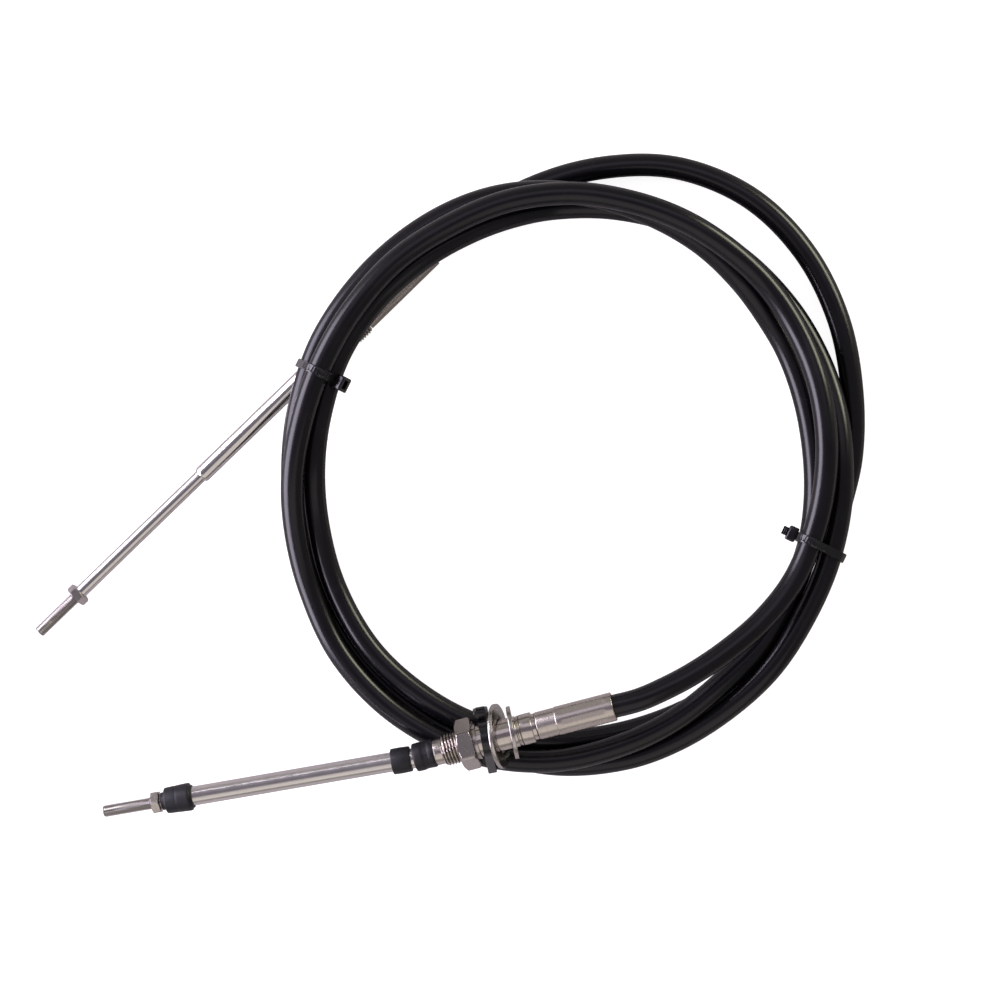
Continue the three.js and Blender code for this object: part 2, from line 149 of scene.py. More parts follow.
@dataclass(frozen=True)
class CoilRoute:
    """The cable's way round the coil: degrees, radius and height."""

    centre: tuple[float, float] = (35, 18.5)
    first_turn: tuple[Station, ...] = (
        (291, 116.5, 43.5), (299, 116, 40.25), (309, 116.5, 35.25), (320, 118.5, 30.5),
        (331, 120.5, 27), (341, 121, 25.25), (352, 121.5, 25.75), (364, 122.5, 25.75),
        (377, 124, 23.75), (390, 125.5, 21.25), (402, 126.5, 22.25), (413, 126.5, 26.25),
        (425, 127, 29.5), (437, 127.5, 30), (450, 128.5, 30.5), (464, 128.5, 31.5),
        (478, 127.5, 33), (492, 128, 34.25), (506, 128, 35), (519, 129, 35.5),
        (531, 131, 35), (543, 134.5, 31), (554, 137.5, 25), (566, 141, 19.75),
        (580, 146, 17.75), (595, 148.5, 17.75), (611, 148.5, 18.5), (626, 145, 18.5),
        (640, 139, 18.25),
    )
    second_turn: tuple[Station, ...] = (
        (652, 134, 18.5), (664, 129, 18.5), (675, 127, 16.25), (684, 125, 13.25),
        (693, 123, 11.75), (703, 121.5, 9.75), (716, 119, 6.75), (732, 117.5, 6),
        (746, 118, 6.5), (758, 118.5, 9.75), (768, 120, 14.5), (779, 122.5, 17),
        (791, 125, 18), (804, 128.5, 17.75), (817, 131.5, 19), (829, 133.5, 20),
        (842, 134, 19.25), (857, 134, 19.5), (873, 134.5, 20.25), (886, 134.5, 19.75),
        (897, 135, 18.5), (909, 136.5, 12.75), (922, 138, 7.5), (938, 140, 6.75),
        (954, 142.5, 7.25), (970, 145, 7.25), (986, 147.5, 6.25), (1000, 147, 6.25),
    )
    third_turn: tuple[Station, ...] = (
        (1011, 144.5, 9.75), (1023, 141, 15.25), (1034, 138.5, 18), (1046, 135, 18.75),
        (1058, 133, 19), (1070, 131.5, 18.5), (1081, 130.5, 17.75), (1091, 130.5, 14.25),
        (1102, 130.5, 8.5), (1115, 130, 6), (1130, 129, 6), (1145, 127.5, 6),
        (1160, 125.5, 6), (1173, 124, 6.5), (1183, 122.5, 13.75), (1194, 121.5, 19),
        (1207, 121.5, 23.75), (1221, 122.5, 24.25), (1235, 123.5, 24.75),
        (1248, 123.5, 25.25), (1260, 124.5, 24.75), (1273, 126.5, 19.5), (1288, 130, 16),
        (1304, 133.5, 16.25), (1320, 135, 16), (1334, 136, 14.25), (1346, 136, 9.75),
        (1360, 134.5, 6),
    )
    last_turn: tuple[Station, ...] = (
        (1374, 133.5, 6), (1390, 134.5, 6), (1406, 135, 6.75), (1420, 134, 7.25),
        (1429, 132.5, 6.75), (1441, 136.5, 6), (1454, 141, 6), (1468, 147.5, 6),
        (1482, 153, 6), (1496, 155.5, 6), (1510, 152.5, 6), (1523, 145, 6),
        (1537, 136, 6),
    )
    mouth_a: Station = (279.3, 118, 43.5)
    mouth_b: Station = (1564.2, 123, 8.2)
    lead: float = 12
    insertion: float = 2.4
    steps: int = 14

    def point(self, station: Station) -> Vector:
        """Gives a station's place in the CAD source's millimetres."""
        angle, radius, height = station
        turn = math.radians(angle)
        x = self.centre[0] + radius * math.cos(turn)
        y = self.centre[1] + radius * math.sin(turn)
        return Vector((x, y, height))

    def knots(self, shift: Vector, axis_a: Vector, axis_b: Vector) -> list[Vector]:
        """Lists the points that the centre line goes through, end to end.

        Args:
            shift: Millimetres from the CAD source's origin to the scene's.
            axis_a: Direction in which the conduit leaves fitting A.
            axis_b: Direction in which the conduit leaves fitting B.

        Returns:
            Points in millimetres in the scene's frame.
        """
        start = self.point(self.mouth_a) + shift
        end = self.point(self.mouth_b) + shift
        stations = self.first_turn + self.second_turn + self.third_turn + self.last_turn
        middle = [self.point(station) + shift for station in stations]
        head = [start - axis_a * self.insertion, start + axis_a * self.lead]
        tail = [end + axis_b * self.lead, end - axis_b * self.insertion]
        return head + middle + tail

    def centre_line(self, knots: Sequence[Vector]) -> list[Vector]:
        """Draws one smooth centripetal curve through the knots.

        Args:
            knots: Points that the curve goes through.

        Returns:
            Closely spaced points along the curve.
        """
        first = 2 * knots[0] - knots[1]
        last = 2 * knots[-1] - knots[-2]
        padded = [first, *knots, last]
        line = []
        for i in range(1, len(padded) - 2):
            for step in range(self.steps):
                line.append(self.between(padded[i - 1:i + 3], step / self.steps))
        line.append(knots[-1].copy())
        return line

    def between(self, four: Sequence[Vector], share: float) -> Vector:
        """Gives the point at a share of the way from the second of four knots to the third.

        Args:
            four: Four knots in order.
            share: From 0 at the second knot to 1 at the third.

        Returns:
            The point on the curve.
        """
        before, here, there, after = four
        gap_0 = math.sqrt((here - before).length)
        gap_1 = math.sqrt((there - here).length)
        gap_2 = math.sqrt((after - there).length)
        leave = (here - before) / gap_0 - (there - before) / (gap_0 + gap_1) + (there - here) / gap_1
        reach = (there - here) / gap_1 - (after - here) / (gap_1 + gap_2) + (after - there) / gap_2
        leave = leave * gap_1
        reach = reach * gap_1
        square = -3 * here + 3 * there - 2 * leave - reach
        cube = 2 * here - 2 * there + leave + reach
        return here + leave * share + square * share ** 2 + cube * share ** 3


# Shader graphs


class Signal:
    """A value socket whose Python operators add Math nodes to its graph."""

    def __init__(self, graph: "Graph", socket: bpy.types.NodeSocket) -> None:
        """Wraps a socket of the graph."""
        self.graph = graph
        self.socket = socket

    def math(self, operation: str, *values: "Signal | float", clamp: bool = False) -> "Signal":
        """Adds a Math node whose first value is this signal.

        Args:
            operation: The Math node's operation.
            values: The node's other values.
            clamp: Whether the result is kept from 0 to 1.

        Returns:
            The result.
        """
        inputs = {0: self, **{i + 1: value for i, value in enumerate(values)}}
        settings = {"operation": operation, "use_clamp": clamp}
        return self.graph.signal("ShaderNodeMath", settings, inputs)

    def __add__(self, other: "Signal | float") -> "Signal":
        """Adds."""
        return self.math("ADD", other)

    __radd__ = __add__

    def __sub__(self, other: "Signal | float") -> "Signal":
        """Takes away."""
        return self.math("SUBTRACT", other)

    def __rsub__(self, other: float) -> "Signal":
        """Takes this signal away from a number."""
        return self.math("MULTIPLY", -1.0).math("ADD", other)

    def __mul__(self, other: "Signal | float") -> "Signal":
        """Multiplies."""
        return self.math("MULTIPLY", other)

    __rmul__ = __mul__

    def above(self, low: float, high: float) -> "Signal":
        """Gives 0 below low and 1 above high, with a straight ramp between them."""
        return ((self - low) * (1 / (high - low))).math("ADD", 0.0, clamp=True)

    def wave(self, turns: float) -> "Signal":
        """Gives a sine of this signal, with this many turns for each unit."""
        return (self * (turns * TAU)).math("SINE")

    def cosine(self, turns: float) -> "Signal":
        """Gives a cosine of this signal, with this many turns for each unit."""
        return (self * (turns * TAU)).math("COSINE")


class Graph:
    """The node tree of one material, or of the studio's room."""

    def __init__(self, owner: bpy.types.Material | bpy.types.World) -> None:
        """Empties the owner's node tree."""
        owner.use_nodes = True
        self.tree = owner.node_tree
        self.tree.nodes.clear()

    def node(
        self,
        kind: str,
        settings: Mapping[str, object] | None = None,
        inputs: Mapping[str | int, object] | None = None,
    ) -> bpy.types.Node:
        """Adds a node.

        Args:
            kind: The node's type.
            settings: Its settings, which are set before its sockets.
            inputs: Values or links of its sockets, by name or number.

        Returns:
            The node.
        """
        node = self.tree.nodes.new(kind)
        for name, value in (settings or {}).items():
            setattr(node, name, value)
        for name, value in (inputs or {}).items():
            self.feed(node.inputs[name], value)
        return node

    def feed(self, socket: bpy.types.NodeSocket, value: object) -> None:
        """Links a socket to another, or sets its own value."""
        source = value.socket if isinstance(value, Signal) else value
        if isinstance(source, bpy.types.NodeSocket):
            self.tree.links.new(source, socket)
        else:
            socket.default_value = source

    def signal(
        self,
        kind: str,
        settings: Mapping[str, object] | None = None,
        inputs: Mapping[str | int, object] | None = None,
        output: str | int = 0,
    ) -> Signal:
        """Adds a node and wraps one of its outputs, with the arguments of node and the output."""
        return Signal(self, self.node(kind, settings, inputs).outputs[output])

    def own_place(self, place: Place) -> bpy.types.NodeSocket:
        """Gives coordinates in a fitting's own millimetres.

        Args:
            place: The fitting's frame.

        Returns:
            A vector socket.
        """
        here = self.node("ShaderNodeTexCoord").outputs["Object"]
        rotation = (0.0, -math.radians(place.tilt), math.radians(place.heading))
        inputs = {
            "Vector": here, "Location": place.origin[:], "Rotation": rotation,
            "Scale": (MM, MM, MM),
        }
        return self.node("ShaderNodeMapping", {"vector_type": "TEXTURE"}, inputs).outputs[0]

    def scaled(self, vector: bpy.types.NodeSocket, scale: Sequence[float]) -> bpy.types.NodeSocket:
        """Stretches coordinates by a factor for each axis."""
        settings = {"operation": "MULTIPLY"}
        return self.node("ShaderNodeVectorMath", settings, {0: vector, 1: scale}).outputs[0]

    def split(self, vector: bpy.types.NodeSocket) -> tuple[Signal, Signal, Signal]:
        """Splits a vector into three signals."""
        outputs = self.node("ShaderNodeSeparateXYZ", {}, {0: vector}).outputs
        return Signal(self, outputs[0]), Signal(self, outputs[1]), Signal(self, outputs[2])

    def joined(self, x: Signal | float, y: Signal | float, z: Signal | float) -> bpy.types.NodeSocket:
        """Joins three values into a vector."""
        return self.node("ShaderNodeCombineXYZ", {}, {0: x, 1: y, 2: z}).outputs[0]

    def noise(
        self, vector: bpy.types.NodeSocket, scale: float, detail: float = 3.0, rough: float = 0.5,
    ) -> Signal:
        """Adds a noise pattern.

        Args:
            vector: Its coordinates.
            scale: How many grains there are for each unit.
            detail: How many finer layers it has.
            rough: How strong the finer layers are.

        Returns:
            A signal from 0 to 1.
        """
        inputs = {"Vector": vector, "Scale": scale, "Detail": detail, "Roughness": rough}
        return self.signal("ShaderNodeTexNoise", {}, inputs, "Fac")

    def mix(self, share: Signal, low: object, high: object) -> bpy.types.NodeSocket:
        """Mixes two colours by a signal."""
        settings = {"data_type": "RGBA"}
        return self.node("ShaderNodeMix", settings, {0: share, 6: low, 7: high}).outputs[2]

    def bump(self, height: Signal, depth: float, strength: float = 1.0) -> bpy.types.NodeSocket:
        """Turns a height into a normal.

        Args:
            height: The height as a share of the depth.
            depth: Metres from height 0 to height 1.
            strength: How far the normal follows it.

        Returns:
            A normal socket.
        """
        inputs = {"Height": height, "Distance": depth, "Strength": strength}
        return self.node("ShaderNodeBump", {}, inputs).outputs[0]

    def surface(self, inputs: Mapping[str, object]) -> None:
        """Finishes the material with one Principled shader.

        Args:
            inputs: Values or links of its sockets.
        """
        shader = self.node("ShaderNodeBsdfPrincipled", {}, inputs)
        self.node("ShaderNodeOutputMaterial", {}, {0: shader.outputs[0]})


# Finishes


@dataclass(frozen=True)
class JacketFinish:
    """Black extruded jacket: satin, with faint lines along it, rubbed places and dust."""

    color: Color = (0.0020, 0.0017, 0.0027, 1)
    bloom: Color = (0.0036, 0.0031, 0.0046, 1)
    rubbed: Color = (0.030, 0.027, 0.033, 1)
    roughness: float = 0.25

    def material(self, name: str) -> bpy.types.Material:
        """Builds the finish on the conduit's own UV map, metres along it and turns around it."""
        material = bpy.data.materials.new(name)
        graph = Graph(material)
        here = graph.node("ShaderNodeTexCoord").outputs["Object"]
        run = graph.node("ShaderNodeUVMap", {"uv_map": "run"}).outputs[0]
        along, around, _ = graph.split(run)
        wrapped = graph.joined(along * 7.0, around.cosine(1) * 5.5, around.wave(1) * 5.5)
        lines = graph.noise(wrapped, 3.2, 4.0, 0.62)
        broad = graph.noise(here, 38.0, 3.0, 0.55)
        fine = graph.noise(here, 900.0, 2.0, 0.6)
        patches = graph.noise(here, 85.0, 5.0, 0.66)
        scratch_run = graph.joined(along * 60.0, around.cosine(1) * 26.0, around.wave(1) * 26.0)
        scratches = graph.noise(scratch_run, 1.6, 3.0, 0.5).above(0.66, 0.7)
        rubs = patches.above(0.62, 0.76) * (0.35 + scratches * 0.65)
        dust = fine.above(0.7, 0.78) * broad.above(0.45, 0.62)
        wear = (rubs * 0.3 + dust * 0.35 + scratches * 0.05).math("MINIMUM", 1.0)
        tone = graph.mix(broad.above(0.3, 0.7), self.color, self.bloom)
        roughness = self.roughness + (lines - 0.5) * 0.14 + (broad - 0.5) * 0.1 + rubs * 0.15
        height = lines * 0.75 + fine * 0.12 + broad * 0.3
        graph.surface({
            "Base Color": graph.mix(wear, tone, self.rubbed),
            "Roughness": roughness,
            "Normal": graph.bump(height, 0.00005, 0.3),
            "IOR": 1.42,
        })
        return material


@dataclass(frozen=True)
class SteelFinish:
    """Bare steel with the marks of how it was worked, and painted shade in a thread's valleys."""

    color: Color
    shade: Color
    roughness: float
    grain: Grain
    marks: float = 0.000004
    stains: float = 0.25
    thread: tuple[float, float, float] | None = None
    # Painted shade: the darker colour painted into a thread's valleys.
    thread_shade_color: Color = (0.12, 0.105, 0.09, 1)

    def thread_shade_mask(self, graph: Graph, own: bpy.types.NodeSocket) -> Signal:
        """Gives 1 in the thread's valleys, where shade is painted in as a darker colour, and 0
        elsewhere.
        """
        start, end, pitch = self.thread
        along, across, up = graph.split(own)
        turns = up.math("ARCTAN2", across) * (1 / TAU)
        phase = (along * (1 / pitch) - turns).math("FRACT")
        away = (phase - 0.5).math("ABSOLUTE")
        cut = along.above(start, start + 0.2) * (1 - along.above(end - 0.2, end))
        return away.above(0.2, 0.42) * cut

    def material(self, name: str, place: Place) -> bpy.types.Material:
        """Builds the finish in a fitting's own frame.

        Args:
            name: The material's name.
            place: The fitting's frame, whose +X is the piece's axis.

        Returns:
            The material.
        """
        material = bpy.data.materials.new(name)
        graph = Graph(material)
        own = graph.own_place(place)
        stretch = (0.02, 6.0, 6.0) if self.grain is Grain.DRAWN else (5.5, 0.12, 0.12)
        strokes = graph.noise(graph.scaled(own, stretch), 1.0, 4.0, 0.65)
        finer = graph.noise(graph.scaled(own, stretch), 3.1, 2.0, 0.6)
        clouds = graph.noise(own, 0.16, 3.0, 0.5)
        film = graph.noise(own, 0.7, 4.0, 0.6)
        specks = graph.noise(own, 5.5, 2.0, 0.5).above(0.72, 0.8)
        stain = film.above(0.52, 0.74) * clouds.above(0.4, 0.62) * self.stains
        tone = (strokes.above(0.3, 0.7) * 0.3 + stain + specks * 0.25).math("MINIMUM", 1.0)
        rough = self.roughness + (strokes - 0.5) * 0.14 + (clouds - 0.5) * 0.1 + stain * 0.2
        color = graph.mix(tone, self.color, self.shade)
        # Painted shade: a thread's valleys are darkened in the colour.
        if self.thread:
            color = graph.mix(self.thread_shade_mask(graph, own), color, self.thread_shade_color)
        graph.surface({
            "Base Color": color,
            "Metallic": 1.0,
            "Roughness": rough.math("MAXIMUM", 0.06),
            "Normal": graph.bump(strokes * 0.6 + finer * 0.4, self.marks, 1.0),
        })
        return material


@dataclass(frozen=True)
class RubberFinish:
    """Moulded rubber: matter where it is dusty, with a fine pebbled skin."""

    color: Color = (0.0036, 0.0036, 0.0056, 1)
    bloom: Color = (0.0085, 0.0086, 0.0118, 1)
    roughness: float = 0.46

    def material(self, name: str, place: Place) -> bpy.types.Material:
        """Builds the finish in a fitting's own frame, with the arguments of a steel finish."""
        material = bpy.data.materials.new(name)
        graph = Graph(material)
        own = graph.own_place(place)
        skin = graph.noise(own, 4.5, 3.0, 0.6)
        pores = graph.noise(own, 14.0, 2.0, 0.5)
        clouds = graph.noise(own, 0.32, 4.0, 0.6)
        haze = clouds.above(0.42, 0.72) * 0.4 + pores.above(0.66, 0.76) * 0.3
        graph.surface({
            "Base Color": graph.mix(haze, self.color, self.bloom),
            "Roughness": self.roughness + (clouds - 0.5) * 0.3 + (skin - 0.5) * 0.12,
            "Normal": graph.bump(skin * 0.7 + pores * 0.3, 0.00009, 0.8),
            "IOR": 1.42,
        })
        return material


@dataclass(frozen=True)
class NylonFinish:
    """Moulded nylon of the cable ties: glossy, with soft flow marks."""

    color: Color = (0.0044, 0.0042, 0.0052, 1)
    dusty: Color = (0.04, 0.038, 0.041, 1)
    roughness: float = 0.16

    def material(self, name: str, place: Place) -> bpy.types.Material:
        """Builds the finish in a tie's own frame, with the arguments of a steel finish."""
        material = bpy.data.materials.new(name)
        graph = Graph(material)
        own = graph.own_place(place)
        flow = graph.noise(graph.scaled(own, (0.3, 0.3, 1.6)), 0.9, 3.0, 0.55)
        grit = graph.noise(own, 9.0, 2.0, 0.5)
        graph.surface({
            "Base Color": graph.mix(grit.above(0.7, 0.8) * 0.35, self.color, self.dusty),
            "Roughness": self.roughness + (flow - 0.5) * 0.2 + grit.above(0.6, 0.7) * 0.12,
            "Normal": graph.bump(flow * 0.8 + grit * 0.2, 0.00012, 0.6),
            "IOR": 1.53,
        })
        return material


@dataclass(frozen=True)
class FloorFinish:
    """The studio's plain floor, which the picture shows as blown-out white."""

    color: Color = (0.5, 0.485, 0.465, 1)
    glow: Color = (0.9, 0.9, 0.9, 1)

    def material(self, name: str) -> bpy.types.Material:
        """Builds the finish, lit up only where it is looked at directly."""
        material = bpy.data.materials.new(name)
        graph = Graph(material)
        direct = graph.signal("ShaderNodeLightPath", {}, {}, "Is Camera Ray")
        graph.surface({
            "Base Color": self.color,
            "Roughness": 0.9,
            "Specular IOR Level": 0.0,
            "Emission Color": graph.mix(direct, (0.0, 0.0, 0.0, 1), self.glow),
            "Emission Strength": 1.0,
        })
        return material


DRAWN = SteelFinish((0.67, 0.645, 0.625, 1), (0.53, 0.505, 0.485, 1), 0.17, Grain.DRAWN)
TURNED = SteelFinish(
    (0.60, 0.55, 0.51, 1), (0.40, 0.36, 0.33, 1), 0.20, Grain.TURNED, marks=0.000007, stains=0.35,
)
CRIMPED = SteelFinish(
    (0.57, 0.52, 0.48, 1), (0.37, 0.33, 0.30, 1), 0.27, Grain.TURNED, marks=0.000007, stains=0.5,
)
PLATED = SteelFinish(
    (0.50, 0.465, 0.44, 1), (0.33, 0.30, 0.28, 1), 0.23, Grain.TURNED, marks=0.000009, stains=0.6,
)


# Shaping


@dataclass(frozen=True)
class Corner:
    """A corner of a turned piece's profile: distance, radius and how far it is rounded."""

    x: float
    r: float
    rounding: float = 0.0


@dataclass(frozen=True)
class ScrewThread:
    """A helical V thread, cut down at 45 degrees where it starts and ends, in millimetres."""

    start: float
    end: float
    major: float
    pitch: float
    depth: float
    start_radius: float
    end_radius: float

    def radius(self, x: float, angle: float) -> float:
        """Gives the thread's radius.

        Args:
            x: Distance along the axis.
            angle: Angle about the axis in radians.

        Returns:
            The radius in millimetres.
        """
        phase = (x / self.pitch - angle / TAU) % 1.0
        away = abs(phase - 0.5) * 2
        height = min(max((0.82 - away) / 0.64, 0.0), 1.0)
        full = self.major / 2 - self.depth * (1 - height)
        start_cut = self.start_radius + (x - self.start)
        end_cut = self.end_radius + (self.end - x)
        return min(full, start_cut, end_cut)


def turned(
    profile: Sequence[Corner], steps: int = 72, closed: bool = False,
    threads: Sequence[ScrewThread] = (),
) -> bmesh.types.BMesh:
    """Turns a profile about the X axis.

    Args:
        profile: Its corners in order.
        steps: How many faces go round it.
        closed: Whether the profile comes back to its first corner round a bore.
        threads: Screw threads on it, each along one straight edge at its major radius.

    Returns:
        A closed mesh in millimetres.
    """
    mesh = bmesh.new()
    verts = [mesh.verts.new((corner.x, corner.r, 0)) for corner in profile]
    for before, after in zip(verts, verts[1:]):
        mesh.edges.new((before, after))
    if closed:
        mesh.edges.new((verts[-1], verts[0]))
    for size in sorted({corner.rounding for corner in profile if corner.rounding}):
        chosen = [vert for vert, corner in zip(verts, profile) if corner.rounding == size]
        bmesh.ops.bevel(
            mesh, geom=chosen, offset=size, offset_type="OFFSET", segments=3,
            affect="VERTICES", profile=0.5, material=-1,
        )
    for thread in threads:
        cuts = round((thread.end - thread.start) / thread.pitch * CUTS_PER_TURN)
        edges = [edge for edge in mesh.edges if carries(edge, thread)]
        bmesh.ops.subdivide_edges(mesh, edges=edges, cuts=cuts)
    bmesh.ops.spin(
        mesh, geom=mesh.verts[:] + mesh.edges[:], cent=(0, 0, 0), axis=(1, 0, 0),
        angle=TAU, steps=steps, use_merge=True,
    )
    bmesh.ops.remove_doubles(mesh, verts=mesh.verts, dist=0.0005)
    bmesh.ops.recalc_face_normals(mesh, faces=mesh.faces)
    for thread in threads:
        cut_thread(mesh, thread)
    return mesh


def carries(edge: bmesh.types.BMEdge, thread: ScrewThread) -> bool:
    """Tells whether a profile's edge is the one that a thread is cut in."""
    return all(
        abs(vert.co.y - thread.major / 2) < NEAR
        and thread.start - NEAR <= vert.co.x <= thread.end + NEAR
        for vert in edge.verts
    )


def cut_thread(mesh: bmesh.types.BMesh, thread: ScrewThread) -> None:
    """Moves the vertices at a thread's major radius to the thread's own surface."""
    for vert in mesh.verts:
        radius = math.hypot(vert.co.y, vert.co.z)
        inside = thread.start - NEAR <= vert.co.x <= thread.end + NEAR
        if inside and abs(radius - thread.major / 2) < NEAR:
            angle = math.atan2(vert.co.z, vert.co.y)
            scale = thread.radius(vert.co.x, angle) / radius
            vert.co.y *= scale
            vert.co.z *= scale


def reshape(mesh: bmesh.types.BMesh, radius_at: Callable[[float, float, float], float]) -> None:
    """Gives each vertex of a turned piece a new radius.

    Args:
        mesh: The piece.
        radius_at: The new radius from a distance, an angle and the old radius.
    """
    for vert in mesh.verts:
        radius = math.hypot(vert.co.y, vert.co.z)
        if radius > NEAR:
            angle = math.atan2(vert.co.z, vert.co.y)
            scale = radius_at(vert.co.x, angle, radius) / radius
            vert.co.y *= scale
            vert.co.z *= scale


@dataclass(frozen=True)
class CrimpBand:
    """A band of a ferrule or sleeve that a tool has pressed into eight shallow flats."""

    start: float
    end: float
    fade: float
    turn: float = 0.0
    depth: float = 0.975

    def radius(self, x: float, angle: float, old: float) -> float:
        """Gives the pressed radius from a distance, an angle and the old radius."""
        eighth = math.pi / 4
        off = (angle + self.turn) % eighth - eighth / 2
        share = min((x - self.start) / self.fade, (self.end - x) / self.fade, 1.0)
        flat = min(old, old * self.depth / math.cos(off))
        return old + (flat - old) * share


def ball_arc(radius: float, start: float, end: float, steps: int) -> list[Corner]:
    """Lists points on a ball about the origin from one distance along X to another."""
    first = math.acos(max(min(start / radius, 1), -1))
    last = math.acos(max(min(end / radius, 1), -1))
    turns = [first + (last - first) * i / steps for i in range(steps + 1)]
    return [Corner(radius * math.cos(turn), radius * math.sin(turn)) for turn in turns]


def finished(
    name: str, mesh: bmesh.types.BMesh, matrix: Matrix, sharp: float = 32.0,
) -> bpy.types.Object:
    """Puts a shaped mesh in the scene with its place in its mesh.

    Args:
        name: The piece's name.
        mesh: Its shape, which is used up.
        matrix: From the shape's own frame to the scene.
        sharp: Degrees past which an edge is drawn sharp.

    Returns:
        The object, at the origin.
    """
    bmesh.ops.transform(mesh, matrix=matrix, verts=mesh.verts)
    data = bpy.data.meshes.new(name)
    for face in mesh.faces:
        face.smooth = True
    mesh.to_mesh(data)
    mesh.free()
    data.set_sharp_from_angle(angle=math.radians(sharp))
    piece = bpy.data.objects.new(name, data)
    bpy.context.scene.collection.objects.link(piece)
    return piece


def dress(
    piece: bpy.types.Object, material: bpy.types.Material, slot: Slot, body: Body, *nodes: str,
) -> bpy.types.Object:
    """Gives a piece its finish, parents it to its body and hides the CAD nodes that it stands for.

    Args:
        piece: The piece.
        material: Its finish.
        slot: The record's slot for the finish; not used.
        body: The body that it moves with.
        nodes: The CAD nodes that it stands for.

    Returns:
        The same piece.
    """
    piece.data.materials.append(material)
    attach(piece, body.value)
    if nodes:
        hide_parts(*nodes)
    log.info("%s: %d faces on %s", piece.name, len(piece.data.polygons), body.value)
    return piece


# Conduit


@dataclass
class Conduit:
    """The whole coiled conduit, from the ferrule at end A to the sleeve at end B."""

    line: list[Vector]
    diameter: float = 11.2
    sides: int = 24
    finish: JacketFinish = field(default_factory=JacketFinish)

    def length(self) -> float:
        """Measures the centre line in metres."""
        return sum((b - a).length for a, b in zip(self.line, self.line[1:])) * MM

    def tube(self) -> bpy.types.Mesh:
        """Sweeps the round section along the centre line with a bevelled curve."""
        data = bpy.data.curves.new("conduit_run", "CURVE")
        data.dimensions = "3D"
        data.bevel_depth = self.diameter / 2 * MM
        data.bevel_resolution = (self.sides - 4) // 2
        spline = data.splines.new("POLY")
        spline.points.add(len(self.line) - 1)
        for point, place in zip(spline.points, self.line):
            point.co = (*(place * MM), 1)
        run = bpy.data.objects.new("conduit_run", data)
        bpy.context.scene.collection.objects.link(run)
        graph = bpy.context.evaluated_depsgraph_get()
        mesh = bpy.data.meshes.new_from_object(run.evaluated_get(graph))
        bpy.data.objects.remove(run)
        bpy.data.curves.remove(data)
        return mesh

    def unroll(self, mesh: bmesh.types.BMesh, sides: int) -> None:
        """Writes the UV map: metres along the conduit, and turns around it.

        Args:
            mesh: The tube, ring by ring.
            sides: How many vertices each ring has.
        """
        layer = mesh.loops.layers.uv.new("run")
        reach = [0.0]
        for before, after in zip(self.line, self.line[1:]):
            reach.append(reach[-1] + (after - before).length * MM)
        for face in mesh.faces:
            places = [(loop, *divmod(loop.vert.index, sides)) for loop in face.loops]
            wraps = len({side for _, _, side in places} & {0, sides - 1}) == 2
            for loop, ring, side in places:
                around = sides if wraps and side == 0 else side
                loop[layer].uv = (reach[min(ring, len(reach) - 1)], around / sides)

    def build(self) -> bpy.types.Object:
        tube = self.tube()
        mesh = bmesh.new()
        mesh.from_mesh(tube)
        bpy.data.meshes.remove(tube)
        mesh.verts.ensure_lookup_table()
        mesh.verts.index_update()
        for name in [layer.name for layer in mesh.loops.layers.uv.values()]:
            mesh.loops.layers.uv.remove(mesh.loops.layers.uv[name])
        self.unroll(mesh, round(len(mesh.verts) / len(self.line)))
        bmesh.ops.holes_fill(mesh, edges=[e for e in mesh.edges if e.is_boundary], sides=0)
        bmesh.ops.recalc_face_normals(mesh, faces=mesh.faces)
        piece = finished("steering_conduit", mesh, Matrix.Identity(4))
        material = self.finish.material("black_satin_jacket")
        dress(piece, material, Slot.JACKET, Body.CABLE, "conduit")
        path = [tuple(point * MM) for point in self.line[::3]]
        path.append(tuple(self.line[-1] * MM))
        tuple(self.line[0] * MM)
        self.length()
        self.diameter * MM
        return piece


# Nuts and washers


@dataclass
class HexNut:
    """A chamfered hexagon nut, with a round boss on its far face if it has one."""

    across_flats: float
    thickness: float
    bore: float
    boss: float = 0.0
    boss_length: float = 0.0
    turn: float = 0.0
    face_share: float = 0.955
    lead_in: float = 0.35
    rows: int = 8

    @property
    def half_corner(self) -> float:
        """Half the distance across the corners."""
        return self.across_flats / math.sqrt(3)

    def radius(self, x: float, angle: float, old: float) -> float:
        """Gives the nut's radius where its outer wall was turned too large."""
        if old < self.half_corner - NEAR:
            return old
        sixth = math.pi / 3
        off = (angle - math.radians(self.turn) + sixth / 2 + math.pi / 2) % sixth - sixth / 2
        flat = self.across_flats / 2 / math.cos(off)
        depth = min(x, self.thickness - x)
        cone = self.across_flats / 2 * self.face_share + max(depth, 0) * math.sqrt(3)
        return min(flat, cone, self.half_corner * 0.985)

    def build(self) -> bmesh.types.BMesh:
        """Shapes the nut along +X from its near face."""
        face = self.across_flats / 2 * self.face_share
        chamfer = (self.half_corner - face) / math.sqrt(3) * 1.1
        rise = [chamfer * i / self.rows for i in range(1, self.rows + 1)]
        outer = [Corner(0, face)]
        outer += [Corner(x, self.half_corner) for x in rise]
        outer += [Corner(self.thickness - x, self.half_corner) for x in reversed(rise)]
        outer.append(Corner(self.thickness, face))
        bore = self.bore / 2
        profile = [Corner(self.lead_in, bore), Corner(0, bore + self.lead_in), *outer]
        end = self.thickness + self.boss_length
        if self.boss:
            profile += [Corner(self.thickness, self.boss / 2), Corner(end, self.boss / 2, 0.2)]
        profile += [Corner(end, bore + self.lead_in), Corner(end - self.lead_in, bore)]
        mesh = turned(profile, 96, closed=True)
        reshape(mesh, self.radius)
        return mesh


